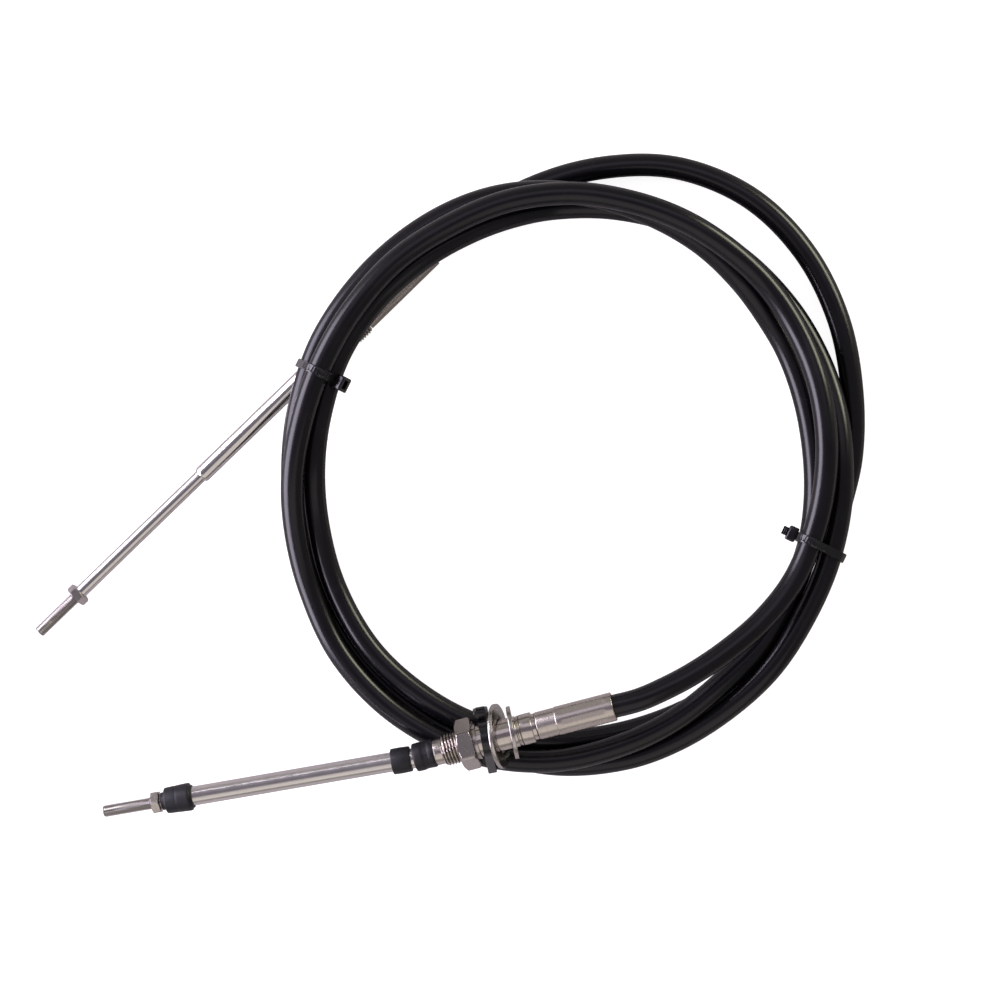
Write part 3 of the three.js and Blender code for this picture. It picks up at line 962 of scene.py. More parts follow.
@dataclass
class Washer:
    """A stamped washer: one face's rim is rolled over by the punch, the other is crisp."""

    diameter: float = 31
    bore: float = 16.6
    thickness: float = 2

    def build(self) -> bmesh.types.BMesh:
        """Shapes the washer along +X from its near face."""
        half = self.diameter / 2
        hole = self.bore / 2
        near = Corner(0, half, 0.5)
        far = Corner(self.thickness, half, 0.18)
        inner = [Corner(self.thickness, hole, 0.15), Corner(0, hole, 0.3)]
        middle = [Corner(0, (half + hole) / 2)]
        return turned([*inner, *middle, near, far], 96, closed=True)


# Swivel and fittings


@dataclass(frozen=True)
class SwivelSize:
    """Sizes of the ball joint between a hub and its tube."""

    ball: float = 9.8
    cup: float = 11.8
    cup_mouth: float = 0.9
    gap: float = 0.3
    boot: float = 13.8

    def cup_profile(self, plain_start: float) -> list[Corner]:
        """Lists the hub's profile from the bottom of its pocket to the plain part."""
        pocket = self.ball / 2 + self.gap
        inner = ball_arc(pocket, pocket * 0.995, self.cup_mouth, 10)
        inner[0] = Corner(inner[0].x, 0)
        outer = [Corner(self.cup_mouth, self.cup / 2, 0.3), Corner(plain_start, self.cup / 2)]
        return inner + outer


@dataclass
class SwivelBoot:
    """The rubber boot round the swivel's cup, with a rim at its mouth and a bead at its end."""

    swivel: SwivelSize
    end: float
    start: float = 0.5

    def build(self) -> bmesh.types.BMesh:
        """Shapes the boot along +X from the swivel's middle."""
        start = self.start
        bore = self.swivel.cup / 2 + 0.02
        full = self.swivel.boot / 2
        share = (self.end - start) / 10.2
        profile = [
            Corner(start, bore), Corner(start, full - 0.55, 0.3),
            Corner(start + 0.5 * share, full - 0.05, 0.25),
            Corner(start + 4.1 * share, full, 0.3), Corner(start + 4.9 * share, full - 0.28, 0.2),
            Corner(start + 7.4 * share, full - 0.3, 0.2), Corner(start + 7.9 * share, full - 0.12),
            Corner(self.end - 0.5, full - 0.14, 0.25), Corner(self.end, full - 0.6, 0.3),
            Corner(self.end, bore),
        ]
        return turned(profile, 80, closed=True)


@dataclass
class FittingA:
    """The long fitting: a threaded hub for the hull, its nut and washers, and the ferrule."""

    place: Place
    swivel: SwivelSize = SwivelSize()
    length: float = 99.3
    boot_end: float = 10.7
    plain_start: float = 11
    plain: float = 12.6
    thread_start: float = 14.6
    thread_end: float = 32.2
    thread_major: float = 15.6
    pitch: float = 1.5
    barrel: float = 14.8
    nut: float = 23
    front_washer: float = 42.4
    front_turn: float = -6
    front_lean: float = 8.5
    back_washer: float = 49.2
    back_diameter: float = 25.4
    back_turn: float = -4
    back_lean: float = -5.5
    groove: float = 12.8
    collar_start: float = 53.8
    collar_end: float = 59.6
    ferrule_start: float = 61.6
    ferrule_step: float = 71.4
    throat: float = 13.4
    ferrule: float = 13.9
    recess: float = 11.5
    recess_depth: float = 4

    def hub(self) -> bmesh.types.BMesh:
        """Shapes the hub: cup, thread, barrel, snap rings and collar."""
        thread = ScrewThread(
            self.thread_start, self.thread_end, self.thread_major, self.pitch,
            depth=0.8, start_radius=6.5, end_radius=7.4,
        )
        major = self.thread_major / 2
        barrel = self.barrel / 2
        groove = self.groove / 2
        lip = self.back_washer + 1.35
        profile = [
            *self.swivel.cup_profile(self.plain_start),
            Corner(self.plain_start, self.plain / 2, 0.15),
            Corner(self.thread_start - 0.4, self.plain / 2),
            Corner(self.thread_start, self.plain / 2), Corner(self.thread_start, major),
            Corner(self.thread_end, major), Corner(self.thread_end, barrel),
            Corner(lip + 1.3, barrel, 0.2), Corner(lip + 1.5, groove + 0.4),
            Corner(lip + 1.9, groove + 0.4), Corner(lip + 2.0, barrel - 0.1, 0.2),
            Corner(lip + 3.0, barrel - 0.1, 0.2), Corner(lip + 3.1, groove),
            Corner(self.collar_start, groove), Corner(self.collar_start, barrel, 0.3),
            Corner(self.collar_end, barrel, 0.35), Corner(self.collar_end, groove),
            Corner(self.ferrule_start - 0.3, groove), Corner(self.ferrule_start - 0.3, 0),
        ]
        return turned(profile, 84, threads=[thread])

    def crimped(self, x: float, angle: float, old: float) -> float:
        """Presses eight shallow flats into the ferrule's wide part."""
        band = CrimpBand(self.ferrule_step + 1.2, self.length - 3.2, fade=1.2, turn=0.3)
        if old < self.ferrule / 2 - 0.2 or not band.start <= x <= band.end:
            return old
        return band.radius(x, angle, old)

    def crimp(self) -> bmesh.types.BMesh:
        """Shapes the ferrule, with a mouth that the conduit goes into."""
        throat = self.throat / 2
        body = self.ferrule / 2
        bore = self.recess / 2
        pressed = [
            Corner(self.ferrule_step + 1.2 + (self.length - self.ferrule_step - 4.4) * i / 24, body)
            for i in range(25)
        ]
        profile = [
            Corner(self.ferrule_start, 0), Corner(self.ferrule_start, throat, 0.4),
            Corner(self.ferrule_step - 0.2, throat, 0.1), Corner(self.ferrule_step, body, 0.12),
            *pressed,
            Corner(self.length - 2.6, body), Corner(self.length, body, 0.45),
            Corner(self.length, bore, 0.25), Corner(self.length - self.recess_depth, bore),
            Corner(self.length - self.recess_depth, 0),
        ]
        mesh = turned(profile, 96)
        reshape(mesh, self.crimped)
        return mesh

    def build(self) -> None:
        """Builds and dresses every piece of the fitting."""
        here = self.place
        threaded = replace(TURNED, thread=(self.thread_start, self.thread_end, self.pitch))
        bright = threaded.material("hub_steel_a", here)
        pressed = CRIMPED.material("ferrule_steel_a", here)
        plated = PLATED.material("nut_steel_a", here)
        rubber = RubberFinish().material("boot_rubber_a", here)
        half = Washer().thickness / 2
        near = here.along(self.nut)
        front = here.along(self.front_washer).leaning(self.front_turn, self.front_lean).along(-half)
        back = here.along(self.back_washer).leaning(self.back_turn, self.back_lean).along(-half)
        small = Washer(self.back_diameter)
        boot = SwivelBoot(self.swivel, self.boot_end).build()
        nut = HexNut(
            across_flats=22, thickness=8.2, bore=16.2, boss=17, boss_length=1.4,
        ).build()
        pieces = [
            (finished("bulkhead_hub_turned", self.hub(), here.matrix), bright, "bulkhead_hub"),
            (finished("crimp_ferrule_pressed", self.crimp(), here.matrix), pressed, "crimp_ferrule_a"),
            (finished("hub_nut_cut", nut, near.matrix), plated, "hub_nut"),
            (finished("front_washer_stamped", Washer().build(), front.matrix), plated, "front_washer"),
            (finished("back_washer_stamped", small.build(), back.matrix), plated, "back_washer"),
        ]
        for piece, material, node in pieces:
            slot = Slot.MACHINED if material is plated else Slot.STAINLESS
            dress(piece, material, slot, Body.CABLE, node)
        piece = finished("swivel_boot_a_moulded", boot, here.matrix)
        dress(piece, rubber, Slot.RUBBER, Body.CABLE, "swivel_boot_a")


@dataclass
class FittingB:
    """The short fitting: a hub with a short thread and a long crimped sleeve."""

    place: Place
    swivel: SwivelSize = SwivelSize()
    length: float = 63
    boot_end: float = 6.6
    plain_start: float = 6.9
    plain: float = 12.6
    thread_start: float = 8
    thread_end: float = 17.2
    thread_major: float = 15.6
    pitch: float = 1.5
    sleeve: float = 13.6
    sleeve_start: float = 17.5
    recess: float = 11.5
    recess_depth: float = 4

    def hub(self) -> bmesh.types.BMesh:
        """Shapes the short hub."""
        thread = ScrewThread(
            self.thread_start, self.thread_end, self.thread_major, self.pitch,
            depth=0.8, start_radius=6.5, end_radius=6.5,
        )
        major = self.thread_major / 2
        plain = self.plain / 2
        profile = [
            *self.swivel.cup_profile(self.plain_start),
            Corner(self.plain_start, plain, 0.15), Corner(self.thread_start, plain),
            Corner(self.thread_start, major), Corner(self.thread_end, major),
            Corner(self.thread_end, plain - 0.3), Corner(self.thread_end, 0),
        ]
        return turned(profile, 84, threads=[thread])

    def crimped(self, x: float, angle: float, old: float) -> float:
        """Presses shallow flats into two bands of the sleeve."""
        if old < self.sleeve / 2 - 0.2:
            return old
        first = CrimpBand(self.sleeve_start + 5, self.sleeve_start + 17, fade=1.0)
        last = CrimpBand(self.length - 17, self.length - 4, fade=1.0)
        for band in (first, last):
            if band.start <= x <= band.end:
                return band.radius(x, angle, old)
        return old

    def crimp(self) -> bmesh.types.BMesh:
        """Shapes the sleeve, with a mouth that the conduit goes into."""
        body = self.sleeve / 2
        bore = self.recess / 2
        reach = self.length - self.sleeve_start
        rows = [Corner(self.sleeve_start + 2 + (reach - 4.6) * i / 40, body) for i in range(41)]
        profile = [
            Corner(self.sleeve_start, 0), Corner(self.sleeve_start, body, 0.5), *rows,
            Corner(self.length, body, 0.45), Corner(self.length, bore, 0.25),
            Corner(self.length - self.recess_depth, bore),
            Corner(self.length - self.recess_depth, 0),
        ]
        mesh = turned(profile, 96)
        reshape(mesh, self.crimped)
        return mesh

    def build(self) -> None:
        """Builds and dresses every piece of the fitting."""
        here = self.place
        threaded = replace(TURNED, thread=(self.thread_start, self.thread_end, self.pitch))
        bright = threaded.material("hub_steel_b", here)
        pressed = CRIMPED.material("sleeve_steel_b", here)
        rubber = RubberFinish().material("boot_rubber_b", here)
        hub = finished("short_hub_turned", self.hub(), here.matrix)
        dress(hub, bright, Slot.STAINLESS, Body.CABLE, "short_hub")
        sleeve = finished("crimp_sleeve_pressed", self.crimp(), here.matrix)
        dress(sleeve, pressed, Slot.STAINLESS, Body.CABLE, "crimp_sleeve_b")
        boot = finished(
            "swivel_boot_b_moulded", SwivelBoot(self.swivel, self.boot_end).build(), here.matrix,
        )
        dress(boot, rubber, Slot.RUBBER, Body.CABLE, "swivel_boot_b")


# Tube and rod


@dataclass
class SteeringArm:
    """The guide tube that swings on the swivel, and the output rod that slides in it."""

    place: Place
    letter: str
    arm: Body
    rod_body: Body
    tube: float
    tube_end: float
    seal_end: float
    rod_tip: float
    nut_place: float
    nut_turn: float
    has_wiper: bool
    swivel: SwivelSize = SwivelSize()
    rod: float = 6.35
    rod_length: float = 124
    thread_length: float = 25
    thread_major: float = 6.0
    pitch: float = 1.0
    slack: float = 0.4
    stem: float = 12

    def guide_tube(self) -> bmesh.types.BMesh:
        """Shapes the tube with the swivel's ball at its end and a chamfered mouth."""
        ball = self.swivel.ball / 2
        outer = self.tube / 2
        bore = self.rod / 2 + self.slack
        neck = math.sqrt(ball ** 2 - outer ** 2)
        globe = ball_arc(ball, -ball, neck, 20)
        globe[0] = Corner(-ball, 0)
        profile = [
            *globe, Corner(self.tube_end - 1, outer, 0.5),
            Corner(self.tube_end, outer - 0.55, 0.15), Corner(self.tube_end, bore, 0.2),
            Corner(self.stem, bore), Corner(self.stem - 2, 0),
        ]
        return turned(profile, 72)

    def seal(self) -> bmesh.types.BMesh:
        """Shapes the rubber sleeve next to the swivel."""
        bore = self.tube / 2 + 0.02
        face = 6.1
        mouth = 5.0
        start = 1.4
        hollow_end = start + 1.4
        end = self.seal_end
        profile = [
            Corner(start, mouth), Corner(start, face, 0.3), Corner((start + end) / 2, face + 0.2),
            Corner(end, face + 0.1, 0.35), Corner(end, bore + 0.5, 0.2), Corner(end - 0.7, bore),
            Corner(hollow_end, bore), Corner(hollow_end, mouth),
        ]
        return turned(profile, 80, closed=True)

    def output_rod(self) -> bmesh.types.BMesh:
        """Shapes the rod, ground smooth, with its threaded and chamfered tip."""
        plain = self.rod / 2
        start = self.rod_length - self.thread_length
        major = self.thread_major / 2
        thread = ScrewThread(
            start + 0.4, self.rod_length, self.thread_major, self.pitch,
            depth=0.5, start_radius=2.9, end_radius=2.25,
        )
        profile = [
            Corner(0, 0), Corner(0, plain - 0.6), Corner(0.6, plain), Corner(start, plain),
            Corner(start + 0.25, major), Corner(start + 0.4, major),
            Corner(self.rod_length, major), Corner(self.rod_length, 1.95, 0.15),
            Corner(self.rod_length - 0.25, 0.9, 0.1), Corner(self.rod_length - 0.9, 0),
        ]
        return turned(profile, 56, threads=[thread])

    def wiper(self) -> bmesh.types.BMesh:
        """Shapes the wiper boot: it grips the tube, steps down and ends in a thin lip."""
        rod_bore = self.rod / 2 + 0.12
        tube_bore = self.tube / 2 + 0.02
        start = self.tube_end - 10.7
        end = start + 12.2
        lip = end + 2.2
        profile = [
            Corner(start - 1.3, tube_bore), Corner(start - 1.3, 5.4, 0.2), Corner(start, 6.1, 0.2),
            Corner(start, 6.7, 0.2), Corner(start + 0.8, 6.8, 0.25),
            Corner(start + 6.1, 6.58, 0.3), Corner(start + 6.6, 6.44, 0.2),
            Corner(start + 7.1, 6.52, 0.2), Corner(end - 0.4, 6.3, 0.2), Corner(end, 6.05, 0.15),
            Corner(end, 4.35, 0.25), Corner(lip - 0.3, 4.3, 0.2), Corner(lip, 3.9, 0.15),
            Corner(lip - 0.5, rod_bore, 0.1),
            Corner(self.tube_end + 0.15, rod_bore), Corner(self.tube_end + 0.15, tube_bore),
        ]
        return turned(profile, 80, closed=True)

    def build(self) -> None:
        """Builds and dresses every piece of the arm and its rod."""
        here = self.place
        letter = self.letter
        drawn = DRAWN.material(f"drawn_steel_{letter}", here)
        rubber = RubberFinish().material(f"seal_rubber_{letter}", here)
        rod_place = here.along(self.rod_tip - self.rod_length)
        thread_start = self.rod_length - self.thread_length
        thread = (thread_start, self.rod_length - 0.4, self.pitch)
        threaded = replace(DRAWN, thread=thread, stains=0.5)
        ground = threaded.material(f"ground_rod_{letter}", rod_place)
        nut_place = here.along(self.nut_place)
        plated = PLATED.material(f"jam_nut_steel_{letter}", nut_place)
        tube = finished(f"guide_tube_{letter}_drawn", self.guide_tube(), here.matrix)
        dress(tube, drawn, Slot.STAINLESS, self.arm, f"guide_tube_{letter}")
        seal = finished(f"tube_seal_{letter}_moulded", self.seal(), here.matrix)
        dress(seal, rubber, Slot.RUBBER, self.arm, f"tube_seal_{letter}")
        rod = finished(f"output_rod_{letter}_ground", self.output_rod(), rod_place.matrix)
        dress(rod, ground, Slot.STAINLESS, self.rod_body, f"output_rod_{letter}")
        nut = HexNut(across_flats=10, thickness=4.2, bore=6.2, turn=self.nut_turn).build()
        nut_piece = finished(f"jam_nut_{letter}_cut", nut, nut_place.matrix)
        dress(nut_piece, plated, Slot.MACHINED, self.rod_body, f"jam_nut_{letter}")
        if self.has_wiper:
            wiper = finished("wiper_boot_moulded", self.wiper(), here.matrix)
            dress(wiper, rubber, Slot.RUBBER, self.arm, "wiper_boot")


# Cable ties


@dataclass(frozen=True)
class Oval:
    """A strand's outline where it goes through a tie's plane, in the tie's own millimetres."""

    x: float
    y: float
    half_width: float
    half_height: float

    def outline(self, grow: float) -> Iterator[tuple[float, float]]:
        """Gives points round the oval, grown outwards."""
        count = 48
        for i in range(count):
            turn = TAU * i / count
            yield (
                self.x + (self.half_width + grow) * math.cos(turn),
                self.y + (self.half_height + grow) * math.sin(turn),
            )


@dataclass
class CableTie:
    """A nylon tie drawn tight round the strands that cross its plane."""

    name: str
    node: str
    centre: Vector
    heading: float
    head_angle: float
    line: list[Vector]
    hub: Place | None = None
    hub_diameter: float = 14.8
    conduit: float = 11.2
    width: float = 4.2
    thickness: float = 1.15
    gap: float = 0.12
    reach: float = 55
    head_width: float = 7.2
    head_length: float = 7.4
    head_height: float = 4.6
    head_lift: float = 1.0
    stub: float = 2.6
    ribbed: float = 26.0
    ribs: tuple[float, ...] = (0.18, 0.18, 0.03, 0.03)
    step: float = 0.32

    @property
    def place(self) -> Place:
        """The tie's frame for its finish."""
        return Place(self.centre * MM, self.heading, 0)

    @property
    def matrix(self) -> Matrix:
        """From the tie's plane, with +Y up and +Z along the strands, to the scene."""
        base = Vector((self.centre.x, self.centre.y, 0)) * MM
        stand = Matrix.Rotation(math.radians(90), 4, "X")
        turn = Matrix.Rotation(math.radians(self.heading), 4, "Z")
        return Matrix.Translation(base) @ turn @ stand @ Matrix.Scale(MM, 4)

    def directions(self) -> tuple[Vector, Vector]:
        """Gives the directions across the strands and along them."""
        turn = math.radians(self.heading)
        across = Vector((math.cos(turn), math.sin(turn), 0))
        along = Vector((-math.sin(turn), math.cos(turn), 0))
        return across, along

    def ovals(self) -> list[Oval]:
        """Finds every strand, and the hub, where they cross three planes of the band."""
        across, along = self.directions()
        found = []
        for share in (-0.5, 0.0, 0.5):
            plane = self.centre + along * share * self.width
            for before, after in zip(self.line, self.line[1:]):
                start = (before - plane).dot(along)
                end = (after - plane).dot(along)
                if start * end > 0 or start == end:
                    continue
                crossing = before.lerp(after, start / (start - end))
                offset = (crossing - plane).dot(across)
                if abs(offset) < self.reach:
                    slant = abs((after - before).normalized().dot(along))
                    radius = self.conduit / 2
                    found.append(Oval(offset, crossing.z, radius / slant, radius))
            if self.hub:
                found.append(self.hub_oval(plane, across, along))
        return found

    def hub_oval(self, plane: Vector, across: Vector, along: Vector) -> Oval:
        """Finds the hub's barrel where it crosses a plane of the band."""
        start = self.hub.origin / MM - plane
        axis = self.hub.axis
        crossing = start - axis * (start.dot(along) / axis.dot(along))
        radius = self.hub_diameter / 2
        slant = abs(axis.dot(along))
        height = crossing.z + plane.z
        return Oval(crossing.dot(across), height, radius / slant, radius)

    def loop(self) -> list[Vector]:
        """Draws the tight line round the strands, counter-clockwise, in even steps."""
        points = sorted({
            (round(x, 4), round(y, 4)) for oval in self.ovals() for x, y in oval.outline(self.gap)
        })
        hull = half_hull(points) + half_hull(points[::-1])
        corners = [Vector((x, y, 0)) for x, y in hull]
        total = sum((b - a).length for a, b in zip(corners, corners[1:] + corners[:1]))
        count = round(total / self.step / 4) * 4
        even = []
        index, passed = 0, 0.0
        for i in range(count):
            goal = total * i / count
            while True:
                start, end = corners[index], corners[(index + 1) % len(corners)]
                reach = (end - start).length
                if passed + reach > goal or index == len(corners) - 1:
                    break
                passed += reach
                index += 1
            even.append(start.lerp(end, (goal - passed) / reach))
        return even

    def section(self, recess: float) -> list[tuple[float, float]]:
        """Lists the strap's rounded section: distance outwards and place across its width.

        Args:
            recess: How deep the strap's middle track lies here.

        Returns:
            The section's points in order.
        """
        edge = 0.28
        rail = 0.7
        track = 0.85
        half = self.width / 2
        out = self.thickness
        soft = edge * 0.3
        return [
            (0, edge - half), (0, half - edge), (soft, half - soft), (edge, half),
            (out - edge, half), (out - soft, half - soft), (out, half - edge),
            (out, half - rail), (out - recess, half - track), (out - recess, track - half),
            (out, rail - half), (out, edge - half), (out - soft, soft - half),
            (out - edge, -half), (edge, -half), (soft, soft - half),
        ]

    def band(self, loop: Sequence[Vector], seat: int) -> bmesh.types.BMesh:
        """Sweeps the strap round the loop, with its ribs on the stretch next to the head.

        Args:
            loop: The line that the strap's inner face follows, in even steps.
            seat: The place in the loop where the head sits.

        Returns:
            The strap's mesh.
        """
        count = len(loop)
        rings = []
        for i, here in enumerate(loop):
            way = (loop[(i + 1) % count] - loop[i - 1]).normalized()
            outwards = Vector((way.y, -way.x, 0))
            steps_off = (seat - i) % count
            ribbed = steps_off * self.step < self.ribbed
            recess = self.ribs[i % len(self.ribs)] if ribbed else 0.0
            rings.append([
                here + outwards * out + Vector((0, 0, across))
                for out, across in self.section(recess)
            ])
        return swept(rings)

    def head(self) -> bmesh.types.BMesh:
        """Shapes the lock: a rounded box with a slot that the strap's tail comes out of."""
        mesh = bmesh.new()
        bmesh.ops.create_cube(mesh, size=1)
        size = (self.head_length, self.head_height, self.head_width)
        bmesh.ops.scale(mesh, vec=size, verts=mesh.verts)
        bmesh.ops.bevel(
            mesh, geom=mesh.edges[:], offset=0.7, offset_type="OFFSET", segments=3,
            affect="EDGES", profile=0.5, material=-1,
        )
        outer = min(mesh.faces, key=lambda face: face.calc_center_median().y)
        bmesh.ops.inset_region(mesh, faces=[outer], thickness=0.75, use_even_offset=True)
        bmesh.ops.inset_region(
            mesh, faces=[outer], thickness=0.12, depth=-1.3, use_even_offset=True,
        )
        drop = -self.head_lift - self.head_height / 2
        bmesh.ops.translate(mesh, vec=(0, drop, 0), verts=mesh.verts)
        return mesh

    def pawl(self) -> bmesh.types.BMesh:
        """Shapes the tongue that holds the strap inside the slot."""
        mesh = bmesh.new()
        bmesh.ops.create_cube(mesh, size=1)
        bmesh.ops.scale(mesh, vec=(1.5, 1.6, self.width - 0.8), verts=mesh.verts)
        bmesh.ops.bevel(
            mesh, geom=mesh.edges[:], offset=0.3, offset_type="OFFSET", segments=2,
            affect="EDGES", profile=0.5, material=-1,
        )
        drop = 1.4 - self.head_lift - self.head_height
        bmesh.ops.translate(mesh, vec=(-0.95, drop, 0), verts=mesh.verts)
        return mesh

    def tail(self) -> bmesh.types.BMesh:
        """Shapes the cut end of the strap that stands out of the lock, with its teeth."""
        mesh = bmesh.new()
        length = self.stub + 1.2
        rows = 12
        rows_per_tooth = 3
        rise = 0.16
        bmesh.ops.create_grid(mesh, x_segments=1, y_segments=rows, size=0.5)
        bmesh.ops.scale(mesh, vec=(self.width, length, 1), verts=mesh.verts)
        for vert in mesh.verts:
            row = round((vert.co.y / length + 0.5) * rows)
            vert.co.z = rise * (row % rows_per_tooth)
        walls = bmesh.ops.extrude_face_region(mesh, geom=mesh.faces[:])["geom"]
        for vert in [item for item in walls if isinstance(item, bmesh.types.BMVert)]:
            vert.co.z = self.thickness
        bmesh.ops.recalc_face_normals(mesh, faces=mesh.faces)
        bmesh.ops.rotate(
            mesh, verts=mesh.verts, cent=(0, 0, 0), matrix=Matrix.Rotation(math.pi / 2, 3, "Y"),
        )
        drop = -self.head_lift - self.head_height - self.stub + length / 2
        side = self.head_length / 6 - self.thickness / 2
        bmesh.ops.translate(mesh, vec=(side, drop, 0), verts=mesh.verts)
        return mesh

    def seat(self, loop: Sequence[Vector]) -> int:
        """Finds where a ray from the loop's middle at the head's angle leaves it."""
        middle = sum(loop, Vector()) / len(loop)
        goal = math.radians(self.head_angle)

        def off(i: int) -> float:
            """Measures how far a point's own angle is from the head's."""
            away = loop[i] - middle
            return abs((math.atan2(away.y, away.x) - goal + math.pi) % TAU - math.pi)

        return min(range(len(loop)), key=off)

    def build(self) -> None:
        """Builds and dresses the tie."""
        loop = self.loop()
        seat = self.seat(loop)
        way = loop[(seat + 2) % len(loop)] - loop[seat - 2]
        turn = Matrix.Rotation(math.atan2(way.y, way.x), 4, "Z")
        settle = Matrix.Translation(loop[seat]) @ turn
        whole = self.band(loop, seat)
        for part in (self.head(), self.pawl(), self.tail()):
            bmesh.ops.transform(part, matrix=settle, verts=part.verts)
            absorb(whole, part)
        piece = finished(self.name, whole, self.matrix)
        material = NylonFinish().material(f"{self.name}_nylon", self.place)
        dress(piece, material, Slot.NYLON, Body.CABLE, self.node)


def swept(rings: Sequence[Sequence[Vector]]) -> bmesh.types.BMesh:
    """Sweeps a closed section round a closed loop.

    Args:
        rings: The section's points at each step of the loop.

    Returns:
        A closed mesh.
    """
    mesh = bmesh.new()
    verts = [mesh.verts.new(place) for place in rings[0]]
    first = [mesh.edges.new(pair) for pair in zip(verts, verts[1:] + verts[:1])]
    edges = list(first)
    for ring in rings[1:]:
        made = bmesh.ops.extrude_edge_only(mesh, edges=edges)["geom"]
        fresh = {item for item in made if isinstance(item, bmesh.types.BMVert)}
        verts = [
            next(edge.other_vert(vert) for edge in vert.link_edges if edge.other_vert(vert) in fresh)
            for vert in verts
        ]
        for vert, place in zip(verts, ring):
            vert.co = place
        edges = [mesh.edges.get(pair) for pair in zip(verts, verts[1:] + verts[:1])]
    bmesh.ops.bridge_loops(mesh, edges=first + edges)
    bmesh.ops.recalc_face_normals(mesh, faces=mesh.faces)
    return mesh


def absorb(whole: bmesh.types.BMesh, part: bmesh.types.BMesh) -> None:
    """Adds one mesh to another and frees it."""
    data = bpy.data.meshes.new("part")
    part.to_mesh(data)
    part.free()
    whole.from_mesh(data)
    bpy.data.meshes.remove(data)


def half_hull(points: Sequence[tuple[float, float]]) -> list[tuple[float, float]]:
    """Wraps one half of a convex outline round sorted points, without its last point."""
    chain: list[tuple[float, float]] = []
    for point in points:
        while len(chain) > 1 and bend(chain[-2], chain[-1], point) <= 1e-6:
            chain.pop()
        chain.append(point)
    return chain[:-1]


def bend(a: tuple[float, float], b: tuple[float, float], c: tuple[float, float]) -> float:
    """Tells which way three points bend: above zero for a left turn."""
    return (b[0] - a[0]) * (c[1] - a[1]) - (b[1] - a[1]) * (c[0] - a[0])


# Studio


@dataclass(frozen=True)
class Softbox:
    """A soft area light that hangs round the object and faces its middle."""

    name: str
    azimuth: float
    elevation: float
    distance: float
    width: float
    height: float
    power: float
    color: tuple[float, float, float]

    def build(self, target: Vector) -> None:
        """Hangs the light so that it faces a point."""
        data = bpy.data.lights.new(self.name, "AREA")
        data.shape = "RECTANGLE"
        data.size = self.width
        data.size_y = self.height
        data.energy = self.power
        data.color = self.color
        lamp = bpy.data.objects.new(self.name, data)
        turn, rise = math.radians(self.azimuth), math.radians(self.elevation)
        away = Vector((
            math.cos(turn) * math.cos(rise), math.sin(turn) * math.cos(rise), math.sin(rise),
        ))
        lamp.location = target + away * self.distance
        lamp.rotation_euler = away.to_track_quat("Z", "Y").to_euler()
        bpy.context.scene.collection.objects.link(lamp)


@dataclass
class Studio:
    """A white table under soft light, seen from straight above as in the photograph."""

    middle: Vector
    lights: tuple[Softbox, ...] = (
        Softbox("cool_window", 178, 21, 1.6, 2.2, 1.2, 74, (0.88, 0.82, 1.0)),
        Softbox("warm_bank", 36, 17, 1.5, 0.7, 0.5, 11, (1.0, 1.0, 0.78)),
        Softbox("top_bank", 92, 64, 1.4, 1.6, 0.6, 1.7, (0.91, 0.88, 1.0)),
        Softbox("front_fill", 275, 47, 1.7, 1.8, 1.5, 5.2, (1.0, 0.93, 0.86)),
    )
    horizon: Color = (0.40, 0.383, 0.37, 1)
    shaded: Color = (0.25, 0.242, 0.227, 1)
    zenith: Color = (0.19, 0.175, 0.21, 1)

    def camera(self) -> None:
        """Hangs the camera over the middle, with the photograph's width of view."""
        data = bpy.data.cameras.new("overhead_camera")
        data.sensor_width = SENSOR
        data.lens = SENSOR * CAMERA_HEIGHT / STUDIO_WIDTH
        data.clip_start = 0.01
        camera = bpy.data.objects.new("overhead_camera", data)
        camera.location = self.middle + Vector((0, 0, CAMERA_HEIGHT))
        bpy.context.scene.collection.objects.link(camera)
        bpy.context.scene.camera = camera

    def floor(self) -> None:
        """Lays the plain floor just under the coil."""
        mesh = bmesh.new()
        bmesh.ops.create_grid(mesh, x_segments=1, y_segments=1, size=3)
        plane = finished("studio_floor", mesh, Matrix.Translation((0, 0, -FLOOR_DROP)))
        plane.data.materials.append(FloorFinish().material("white_floor"))
        plane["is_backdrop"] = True

    def sky(self) -> None:
        """Fills the room with soft light, dimmer overhead and to the right than at the left."""
        world = bpy.data.worlds.new("studio_room")
        bpy.context.scene.world = world
        graph = Graph(world)
        way = graph.node("ShaderNodeTexCoord").outputs["Generated"]
        side, _, height = graph.split(way)
        wall = graph.mix(side.above(-0.1, 0.7), self.horizon, self.shaded)
        tone = graph.mix(height.above(0.25, 0.92), wall, self.zenith)
        room = graph.node("ShaderNodeBackground", {}, {"Color": tone, "Strength": 1.0})
        graph.node("ShaderNodeOutputWorld", {}, {0: room.outputs[0]})

    def light(self) -> None:
        """Hangs the lights and sets plain colour handling."""
        self.sky()
        for softbox in self.lights:
            softbox.build(Vector((self.middle.x, self.middle.y, 0)))
        bpy.context.scene.view_settings.view_transform = "Standard"


# The whole cable


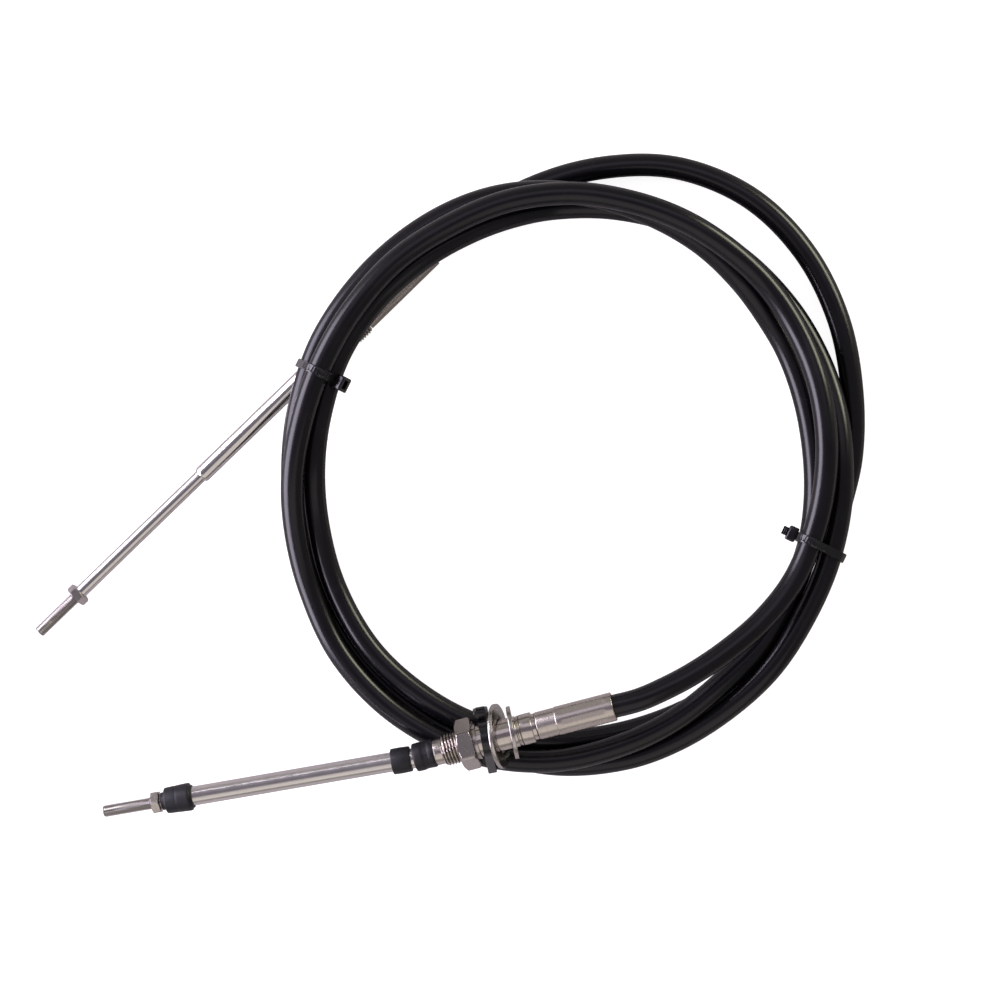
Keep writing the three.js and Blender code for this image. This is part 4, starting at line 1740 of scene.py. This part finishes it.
@dataclass
class SteeringCable:
    """The cable with both its fittings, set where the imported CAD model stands."""

    route: CoilRoute = field(default_factory=CoilRoute)
    heading_a: float = 15
    tilt_a: float = 6
    heading_b: float = 44.3
    tilt_b: float = 0
    tube_heading_a: float = 190.25
    tube_tilt_a: float = -6
    tube_heading_b: float = 224.1
    tube_tilt_b: float = 0
    hub_tie_from_swivel: float = 35.9
    left_tie: Station = (160.6, 131, 0)
    right_tie: Station = (341, 127, 0)

    def swivel(self, mouth: Station, heading: float, tilt: float, length: float) -> Place:
        """Gives a fitting's frame, in the CAD source's own millimetres times MM."""
        here = Place(self.route.point(mouth) * MM, heading, tilt)
        return here.along(-length)

    def shift(self) -> Vector:
        """Measures the step from the CAD source's origin to the scene's, on the back washer."""
        low, high = (Vector(corner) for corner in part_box("back_washer"))
        here = self.swivel(self.route.mouth_a, self.heading_a, self.tilt_a, FittingA.length)
        return (low + high) / 2 - here.along(FittingA.back_washer).origin

    def build(self) -> None:
        """Builds every sub-assembly in order."""
        shift = self.shift()
        first = self.swivel(self.route.mouth_a, self.heading_a, self.tilt_a, FittingA.length)
        second = self.swivel(self.route.mouth_b, self.heading_b, self.tilt_b, FittingB.length)
        place_a = Place(first.origin + shift, self.heading_a, self.tilt_a)
        place_b = Place(second.origin + shift, self.heading_b, self.tilt_b)
        knots = self.route.knots(shift / MM, place_a.axis, place_b.axis)
        line = self.route.centre_line(knots)
        conduit = Conduit(line)
        conduit.build()
        log.info("centre line %.3f m", conduit.length())
        FittingA(place_a).build()
        FittingB(place_b).build()
        SteeringArm(
            Place(place_a.origin, self.tube_heading_a, self.tube_tilt_a), "a",
            Body.ARM_A, Body.ROD_A, tube=9.4, tube_end=120.85, seal_end=10.4,
            rod_tip=153.7, nut_place=125.1, nut_turn=-25, has_wiper=True,
        ).build()
        SteeringArm(
            Place(place_b.origin, self.tube_heading_b, self.tube_tilt_b), "b",
            Body.ARM_B, Body.ROD_B, tube=8.3, tube_end=92.6, seal_end=8.4,
            rod_tip=202.3, nut_place=173.8, nut_turn=4, has_wiper=False,
        ).build()
        hub = place_a.along(self.hub_tie_from_swivel).origin / MM
        left = self.route.point(self.left_tie) + shift / MM
        right = self.route.point(self.right_tie) + shift / MM
        for centre in (hub, left, right):
            centre.z = 0
        ties = (
            CableTie("hub_tie_strap", "hub_tie", hub, 101, 37, line, hub=place_a, stub=1.2),
            CableTie("left_tie_strap", "left_tie", left, 154, 160, line, stub=0.5),
            CableTie("right_tie_strap", "right_tie", right, -25.5, 180, line),
        )
        for tie in ties:
            tie.build()


def main() -> None:
    """Builds the studio's camera, the cable, the floor and the lights."""
    logging.basicConfig(level=logging.INFO, format="%(name)s: %(message)s")
    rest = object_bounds()
    low, high = Vector(rest[0]), Vector(rest[1])
    studio = Studio(Vector(STUDIO_MIDDLE))
    studio.camera()
    SteeringCable().build()
    studio.floor()
    studio.light()
    log.info("CAD box %s to %s", low, high)


def plain(box: Sequence[Sequence[float]]) -> list[list[float]]:
    """Turns a box into plain lists of numbers."""
    return [[round(float(value), 6) for value in corner] for corner in box]


if __name__ == "__main__":
    main()
